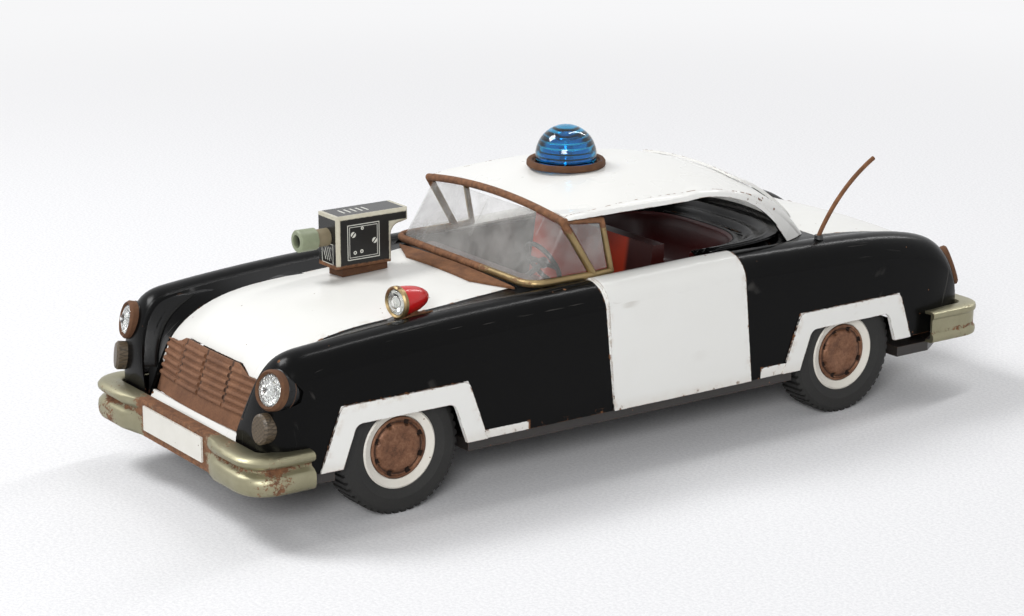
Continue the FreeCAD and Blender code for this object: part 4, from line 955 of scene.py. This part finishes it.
# %% Beacon dome
BEACON_SEAT = (0.0, 0.9, 88.5)
DOME_HEIGHT, DOME_RADIUS = 13.7, 10.2
DOME_MIDDLE = DOME_HEIGHT - DOME_RADIUS
dome = arc((DOME_MIDDLE, 0.0), (DOME_RADIUS, DOME_RADIUS), 90.0, 0.0, 20)
dome_inside = []
for ring in range(8):
    level = 0.6 + ring * 1.6
    for along, inset in ((level, 0.9), (level + 1.0, 1.45)):
        reach = max(along - DOME_MIDDLE, 0.0)
        radius = math.sqrt(max((DOME_RADIUS - inset) ** 2 - reach ** 2, 0.0))
        if radius > 0.8:
            dome_inside.append((along, radius))
dome_inside.append((DOME_HEIGHT - 1.4, 0.0))
wall = [(0.0, DOME_RADIUS - 1.0), (0.0, DOME_RADIUS)] + dome + dome_inside[::-1]
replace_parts(turned("beacon_glass", wall, [upright(BEACON_SEAT)], "blue_dome"), "beacon_dome")
flange = [(0.0, 10.4), (0.0, 12.9), (0.5, 13.2), (1.7, 13.1), (2.3, 12.6), (2.0, 11.4), (1.3, 10.9),
          (1.2, 10.4)]
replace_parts(turned("beacon_flange", flange, [upright(BEACON_SEAT)], "dark_rust_and_foot_shade"), "beacon_ring")
print("dome profile:", len(wall), "points")

# %% [markdown]
# ## Lamps
# Each headlamp is a silvered bowl behind a pressed glass with a small bull's eye. The bowl is
# deep enough to mirror the room, which is what makes the lamp sparkle. The wing swells into a pod
# behind the ring. The spotlight on the wing is a red bullet with the same kind of glass.

# %% Headlamps
LAMP_PLACES = [aimed((46.2, -138.6, 46.8), 12.0, 14.0, side) for side in (1, -1)]
LENS_RADIUS = 4.8
FLUTES, FLUTE_DEPTH = 18.0, 0.12
glass = [(0.1, LENS_RADIUS), (0.7, LENS_RADIUS)]
glass += arc((0.7, 0.0), (1.35, LENS_RADIUS - 0.25), 90.0, 25.0, 9)
glass += [(2.25, 1.55), (2.7, 1.0), (2.85, 0.0), (1.0, 0.0), (0.9, 1.6), (0.35, 2.4), (0.6, 3.2),
          (0.2, 4.0)]


def fluted(along, radius, turn):
    """Shallow flutes across the inside of the glass."""
    on_inside = 1.5 < radius < 4.5 and along < 1.2
    return FLUTE_DEPTH * math.sin(turn * FLUTES) if on_inside else 0.0


headlamp_glass = turned("headlamp_glass", glass, LAMP_PLACES, "clear_lens", steps=108, push=fluted)
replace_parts(headlamp_glass, "headlamp_lenses")
bowl = [(-0.1, LENS_RADIUS + 0.05)] + arc((-0.2, 0.0), (-2.3, LENS_RADIUS - 0.1), 90.0, 14.0, 10)
bowl += [(-1.2, 0.8), (-1.0, 0.0), (-2.9, 0.0), (-2.9, LENS_RADIUS + 0.05)]
turned("headlamp_bowls", bowl, LAMP_PLACES, "silver_bowl")
pod = [(-1.2, 5.0), (-1.2, 6.1), (-1.4, 6.36), (-3.2, 6.34), (-5.6, 5.9), (-7.8, 5.1), (-7.8, 5.0)]
turned("lamp_pods", pod, LAMP_PLACES, "pod_enamel")
print("headlamp glass:", len(headlamp_glass.data.polygons), "faces")

# %% Spotlight
SPOT_PLACE = [aimed((36.0, -88.5, 63.4), 8.0, 0.0)]
bullet = [(-0.7, 0.0), (-0.7, 4.5)] + arc((-0.7, 0.0), (-11.6, 4.65), 88.0, 0.0, 22)
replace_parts(turned("spot_bullet", bullet, SPOT_PLACE, "red_plastic"), "spot_housing")
spot_glass = [(0.0, 3.95), (0.2, 3.95)] + arc((0.2, 0.0), (1.2, 3.8), 90.0, 20.0, 8)
spot_glass += [(1.75, 0.8), (1.8, 0.0), (0.9, 0.0), (0.7, 1.2), (0.2, 2.0), (0.45, 2.8), (0.1, 3.4)]
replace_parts(turned("spot_glass", spot_glass, SPOT_PLACE, "clear_lens"), "spot_lens")
spot_bowl = [(-0.05, 3.97), (-0.35, 3.2), (-0.55, 1.8), (-0.6, 0.0), (-0.68, 0.0), (-0.68, 3.97)]
turned("spot_bowl", spot_bowl, SPOT_PLACE, "silver_bowl")

# %% [markdown]
# ## Hub caps
# A pressed cap with a round groove and eight small notches just outside its raised centre. The
# profile gives the groove; the notches are pushed in where the turn and the radius both say so.

# %% Hub caps
CAP_RADIUS, CAP_THICKNESS = 9.8, 1.3
NOTCH_DEPTH, NOTCH_SHARE = 0.75, 0.13
cap_face = [(0.0, CAP_RADIUS), (0.75, CAP_RADIUS), (0.95, 9.5), (0.95, 9.1), (0.5, 8.8),
            (0.42, 8.4), (0.5, 8.0), (1.0, 7.6), (1.25, 7.0), (1.3, 5.4), (1.05, 4.6), (1.0, 3.0),
            (1.15, 1.4), (1.2, 0.0), (0.0, 0.0)]


def cap_notches(along, radius, turn):
    """Eight dents in the groove's ring."""
    phase = (turn / (2 * math.pi) * NOTCHES) % 1.0
    notched = 7.55 < radius < 9.0 and along > 0.3 and abs(phase - 0.5) < NOTCH_SHARE
    return -NOTCH_DEPTH if notched else 0.0


for end, axle in (("front", FRONT_AXLE), ("rear", REAR_AXLE)):
    for side, name in ((1, "left"), (-1, "right")):
        low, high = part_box(f"{end}_{name}_hub_cap")
        face = max(abs(low[0]), abs(high[0])) / MM
        seat = Vector(((face - CAP_THICKNESS) * side, axle, WHEEL_RADIUS)) * MM
        place = Matrix.Translation(seat)
        if side < 0:
            place = place @ Matrix.Rotation(math.pi, 4, "Z")
        cap = turned(f"{end}_{name}_cap", cap_face, [place], "cap_rust", f"{end}_wheelset", 96,
                     cap_notches)
        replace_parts(cap, f"{end}_{name}_hub_cap")
    print(end, "caps at x =", round(face, 2))

# %% [markdown]
# ## Rear bench
# The rear bench is pressed with the tub: a maroon back that wraps round in a U, a rolled rim, and
# outside it a black lining that steps up in soft ridges to the window shelf. A U in plan,
# repeated at growing offsets and changing heights, gives all of it in one sheet.

# %% Bench and lining
BENCH_HALF, BENCH_HALF_LIMIT, BENCH_DEPTH, BENCH_Y = 27.5, 39.0, 20.0, 36.0
BENCH_TURNS = [-100.0, -95.0] + [-90.0 + 180.0 * step / 60.0 for step in range(61)] + [95.0, 100.0]
BENCH_BACK = [(-9.0, 44.0), (-6.0, 43.6), (-2.0, 44.2), (-0.6, 46.0), (0.0, 52.0), (0.6, 57.0),
              (1.2, 59.6), (2.0, 60.6)]
LINING = [(2.0, 60.6), (2.9, 60.8), (3.6, 60.2), (4.4, 60.0), (5.3, 60.9), (6.2, 62.0), (7.0, 61.9),
          (7.9, 61.3), (8.8, 61.9), (9.8, 63.2), (10.6, 63.1), (11.5, 62.5), (12.6, 62.7),
          (13.6, 62.2)]


def bench_plan(offset, turn):
    """A point of the U at this offset; turn is -90 to 90 degrees, and beyond on the arms."""
    half = min(BENCH_HALF + offset, BENCH_HALF_LIMIT)
    if abs(turn) > 90.0:
        return math.copysign(half, turn), BENCH_Y - (abs(turn) - 90.0) * 0.5
    angle = math.radians(turn)
    depth = BENCH_DEPTH + offset * 1.55
    return (math.copysign(half * abs(math.sin(angle)) ** 0.7, turn),
            BENCH_Y + depth * abs(math.cos(angle)) ** 0.7)


def bench_sheet(name, rows, finish_name):
    """A bent sheet from rows of an offset and a height."""
    shape = bmesh.new()
    lines = [[shape.verts.new(Vector((*bench_plan(offset, turn), z)) * MM) for turn in BENCH_TURNS]
             for offset, z in rows]
    skin(shape, lines, closed=False)
    return piece(name, shape, finish_name, sheet=(0.5, 0.0))


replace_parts(bench_sheet("rear_bench", BENCH_BACK, "seat_print"), "rear_seat")
bench_sheet("quarter_lining", LINING, "pod_enamel")
print("bench and lining:", len(BENCH_BACK) + len(LINING), "rows")

# %% [markdown]
# ## Bumpers
# Each bumper is one strip of tin, bent to a section and then wrapped round the corners. The front
# one has a rolled upper lip, a sharp groove full of rust and a straight lower face; in its middle
# it is set back to carry the plate. The rear one is a plain channel.

# %% A section swept along a plan
FACE_SHARES = (0.88, 0.7, 0.5, 0.4615, 0.4487, 0.3, 0.1)
TIN = 0.9


def rounded_plan(half, end_y, face_y, corner):
    """The bumper's outer edge seen from above, from its right end to its left end."""
    away = math.copysign(1.0, face_y)
    turns = [math.radians(90.0 * step / 8.0) for step in range(9)]
    bend = [(-half + corner * (1 - math.cos(turn)), face_y - away * corner * (1 - math.sin(turn)))
            for turn in turns]
    face = [(-(half - corner) * share, face_y) for share in FACE_SHARES]
    points = [(-half, end_y), (-half, (end_y + bend[0][1]) / 2)] + bend + face
    return points + [(-x, y) for x, y in reversed(points)]


def swept(name, plan, section, finish_name, set_back=0.0, bay=0.0):
    """section is a closed loop of (outward, z), outer skin first; in the bay it is held back."""
    shape = bmesh.new()
    last_outer = min(range(len(section)), key=lambda index: section[index][1])
    rings = []
    for index, (x, y) in enumerate(plan):
        before, after = plan[max(index - 1, 0)], plan[min(index + 1, len(plan) - 1)]
        along = Vector((after[0] - before[0], after[1] - before[1], 0)).normalized()
        out = Vector((along.y, -along.x, 0))
        if out.dot(Vector((x * 0.2, y, 0))) < 0:
            out = -out
        ring = []
        for corner, (outward, z) in enumerate(section):
            if abs(x) < bay:
                outward = min(outward, set_back if corner <= last_outer else set_back - TIN)
            ring.append(shape.verts.new((Vector((x, y, z)) + out * outward) * MM))
        rings.append(ring)
    skin(shape, rings, closed=True)
    for ring in (rings[0], rings[-1]):
        shape.faces.new(ring)
    return piece(name, shape, finish_name, crisp=40.0)


# %% Front and rear bumper
FRONT_SECTION = [(-8.0, 27.6), (-7.0, 28.2), (-2.2, 28.1), (-0.8, 27.7), (-0.1, 26.9), (-0.2, 25.9),
                 (-1.2, 24.9), (-2.7, 24.3), (-3.0, 23.7), (-2.6, 23.0), (-1.1, 22.3), (-0.2, 21.4),
                 (0.0, 19.8), (-0.2, 17.8), (-0.7, 16.7), (-1.6, 16.2), (-2.2, 16.6), (-1.6, 17.8),
                 (-1.3, 21.0), (-3.9, 23.4), (-2.4, 26.6), (-7.4, 27.0)]
REAR_SECTION = [(-6.5, 29.6), (-5.6, 30.6), (-1.0, 30.8), (0.0, 30.3), (0.2, 29.4), (0.1, 28.6),
                (-0.5, 28.0), (-0.6, 23.0), (0.1, 22.3), (0.2, 21.2), (0.0, 20.2), (-0.9, 19.7),
                (-3.8, 19.6), (-3.7, 20.4), (-1.3, 20.6), (-1.4, 29.8), (-5.4, 29.7)]
front_plan = rounded_plan(54.3, -128.6, -150.9, 11.0)
rear_plan = rounded_plan(54.0, 119.5, 144.6, 9.0)
front = swept("front_bumper_strip", front_plan, FRONT_SECTION, "bumper_plating", -3.3, 21.7)
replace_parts(front, "front_bumper")
rear = swept("rear_bumper_strip", rear_plan, REAR_SECTION, "bumper_plating")
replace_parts(rear, "rear_bumper")
print("bumper plans:", len(front_plan), "and", len(rear_plan), "points")

# %% [markdown]
# ## Seams of the nose
# Between the lamps and the bonnet the two skins of the wing meet along a fold. A narrow strip of
# the same enamel follows the fold from the valance to the crest and closes it. Its edges are
# found by looking at the body from the front, row by row.

# %% Finding the fold
FOLD_FROM_X, FOLD_TO_X, GAP_END_X = 28.5, 40.0, 40.9
LOOK_STEP, ROW_HEIGHT, FOLD_ROWS = 0.05, 0.5, range(58, 116)
LAP_BEFORE, LAP_AFTER = 1.1, 0.9
LOOK_FROM_Y, NOSE_END_Y = -200.0, -80.0
body_tree = BVHTree.FromObject(nodes["body_shell"], bpy.context.evaluated_depsgraph_get())


def skin_y(x, z):
    """How far back the front skin lies at x and z, or None where there is a gap."""
    found = body_tree.ray_cast(Vector((x, LOOK_FROM_Y, z)) * MM, Vector((0, 1, 0)))[0]
    return found.y / MM if found is not None and found.y < NOSE_END_Y * MM else None


def fold_row(z, side):
    """The last point before the gap and the first point after it, or None."""
    before = None
    x = FOLD_FROM_X
    while x < FOLD_TO_X:
        y = skin_y(x * side, z)
        if y is None and before is not None:
            after = x
            while after < GAP_END_X + 0.1 and skin_y(after * side, z) is None:
                after += LOOK_STEP
            first, last = max(before - LAP_BEFORE, FOLD_FROM_X), after + LAP_AFTER
            first_y, last_y = skin_y(first * side, z), skin_y(last * side, z)
            if first_y is None or last_y is None or after > GAP_END_X:
                return None
            return (first, first_y), (last, last_y)
        if y is not None:
            before = x
        x += LOOK_STEP
    return None


def fold_rows(side):
    """Rows of the fold from its foot up, with the ones that were not found filled in between."""
    looked = [(step * ROW_HEIGHT, fold_row(step * ROW_HEIGHT, side)) for step in FOLD_ROWS]
    found = [(z, row) for z, row in looked if row]
    rows = [found[0]]
    for z, row in found[1:]:
        below_z, below = rows[-1]
        gap = max(int(round((z - below_z) / ROW_HEIGHT)), 1)
        for step in range(1, gap + 1):
            share = step / gap
            ends = [tuple(low + (high - low) * share for low, high in zip(*pair))
                    for pair in zip(below, row)]
            rows.append((below_z + (z - below_z) * share, ends))
    foot_z, ((x0, y0), (x1, y1)) = rows[0]
    return [(foot_z - 3.0, [(x0 - 0.6, y0 - 0.6), (x1, y1 - 0.3)])] + rows


# %% Nose folds
FOLD_STEPS, FOLD_PROUD, FOLD_BOW = 4, 0.12, 0.35


def fold_strip(name, side):
    """A thin bowed strip over the fold."""
    shape = bmesh.new()
    lines = []
    for z, ((x0, y0), (x1, y1)) in fold_rows(side):
        line = []
        for step in range(FOLD_STEPS + 1):
            share = step / FOLD_STEPS
            proud = FOLD_PROUD + FOLD_BOW * math.sin(math.pi * share) * 0.3
            point = Vector(((x0 + (x1 - x0) * share) * side, y0 + (y1 - y0) * share - proud, z))
            line.append(shape.verts.new(point * MM))
        lines.append(line)
    skin(shape, lines, closed=False)
    print(name, "has", len(lines), "rows")
    return piece(name, shape, "pod_enamel", sheet=(0.1, -1.0))


for side, name in ((1, "left"), (-1, "right")):
    fold_strip(f"nose_fold_{name}", side)

# %% [markdown]
# ## Floor
# The car stands on a pale, finely speckled sheet that runs out into an even white. Cameras, gloss
# and clear plastic see the far sheet as white by a faint emission, mixed in with distance, but no
# light comes from it onto the car.

# %% Floor
FLOOR_HALF = 3.0


def seen_rays(net):
    """1 for rays that show the background: to the camera, off gloss and through clear plastic."""
    return highest([net.node("LightPath", output=kind)
                    for kind in ("Is Camera Ray", "Is Glossy Ray", "Is Transmission Ray")])


def paper():
    net = Net("paper")
    place = net.place()
    grain = net.noise(place, 0.9, 3.0, 0.8)
    speckle = net.step(grain, 0.3, 0.7)
    net.finish(Base_Color=net.blend(speckle, (0.72, 0.72, 0.735), (0.86, 0.86, 0.87)),
               Roughness=0.85, Normal=net.bump(grain, 0.3, 0.3))
    x, y, _ = net.parts(place)
    far = net.step((x * x + y * y) ** 0.5, 330.0, 900.0)
    glow = net.node("Emission", None, {"Color": (0.93, 0.93, 0.94), "Strength": 1.0})
    lit = Socket(net, net.shader.outputs[0])
    mixed = net.node("MixShader", None, [far * seen_rays(net), lit, glow])
    net.feed(net.tree.nodes["Material Output"].inputs["Surface"], mixed)
    return net.owner


corners = [(x * FLOOR_HALF, y * FLOOR_HALF, 0) for x, y in ((-1, -1), (1, -1), (1, 1), (-1, 1))]
floor_mesh = bpy.data.meshes.new("floor")
floor_mesh.from_pydata(corners, [], [(0, 1, 2, 3)])
floor_mesh.materials.append(paper())
floor = linked("floor", floor_mesh)
print("the floor is", 2 * FLOOR_HALF, "m square")

# %% [markdown]
# ## Light
# One soft lamp, high on the car's far side, throws the shadow towards the viewer, a fill from the
# viewer's side opens the blacks, and a long narrow strip draws the highlight along the shoulders.
# The sky is dim for light that falls on things and white for rays that only look at it.

# %% Lamps and sky
LAMPS = {  # place, height of the point it faces, size, watts
    "high_soft_lamp": ((-0.66, -0.62, 1.12), 0.03, (0.45, 0.45), 12.0),
    "front_fill": ((1.3, -1.2, 0.8), 0.04, (0.7, 0.5), 20.0),
    "shoulder_strip": ((-0.13, 0.62, 0.95), 0.05, (0.07, 1.1), 4.0),
}
SKY_LIGHT, SKY_SEEN = 0.32, 1.0

for name, (at, height, size, power) in LAMPS.items():
    data = bpy.data.lights.new(name, "AREA")
    data.shape = "RECTANGLE"
    data.size, data.size_y = size
    data.energy = power
    made = linked(name, data)
    made.location = at
    made.rotation_euler = (Vector((0, 0, height)) - Vector(at)).to_track_quat("-Z", "Y").to_euler()

sky = Net("studio", bpy.data.worlds, "Background")
strength = SKY_LIGHT + seen_rays(sky) * (SKY_SEEN - SKY_LIGHT)
bpy.context.scene.world = sky.finish(Color=(0.93, 0.935, 0.95), Strength=strength)
print(len(LAMPS), "lamps,", sum(power for *_, power in LAMPS.values()), "W in all")

# %% [markdown]
# ## Camera
# A long lens from the front left corner, a little above the roof, keeps the car's lines nearly
# parallel and shows the bonnet, one side and the roof at once.

# %% Camera
CAMERA_AT = (0.69314, -0.49997, 0.27827)
CAMERA_DOWN, CAMERA_ROUND = 15.629, 55.348
camera_data = bpy.data.cameras.new("camera")
camera_data.lens = 92.56
camera_data.sensor_width = 36.0
camera = linked("camera", camera_data)
camera.location = CAMERA_AT
camera.rotation_euler = (math.radians(90.0 - CAMERA_DOWN), 0.0, math.radians(CAMERA_ROUND))
bpy.context.scene.camera = camera
bpy.context.scene.view_settings.view_transform = "Standard"
print("camera is", round(camera.location.length, 3), "m from the car's middle")

# %% [markdown]
# ## Up to date
# The view layer is brought up to date at the end.

# %% Up to date
bpy.context.view_layer.update()
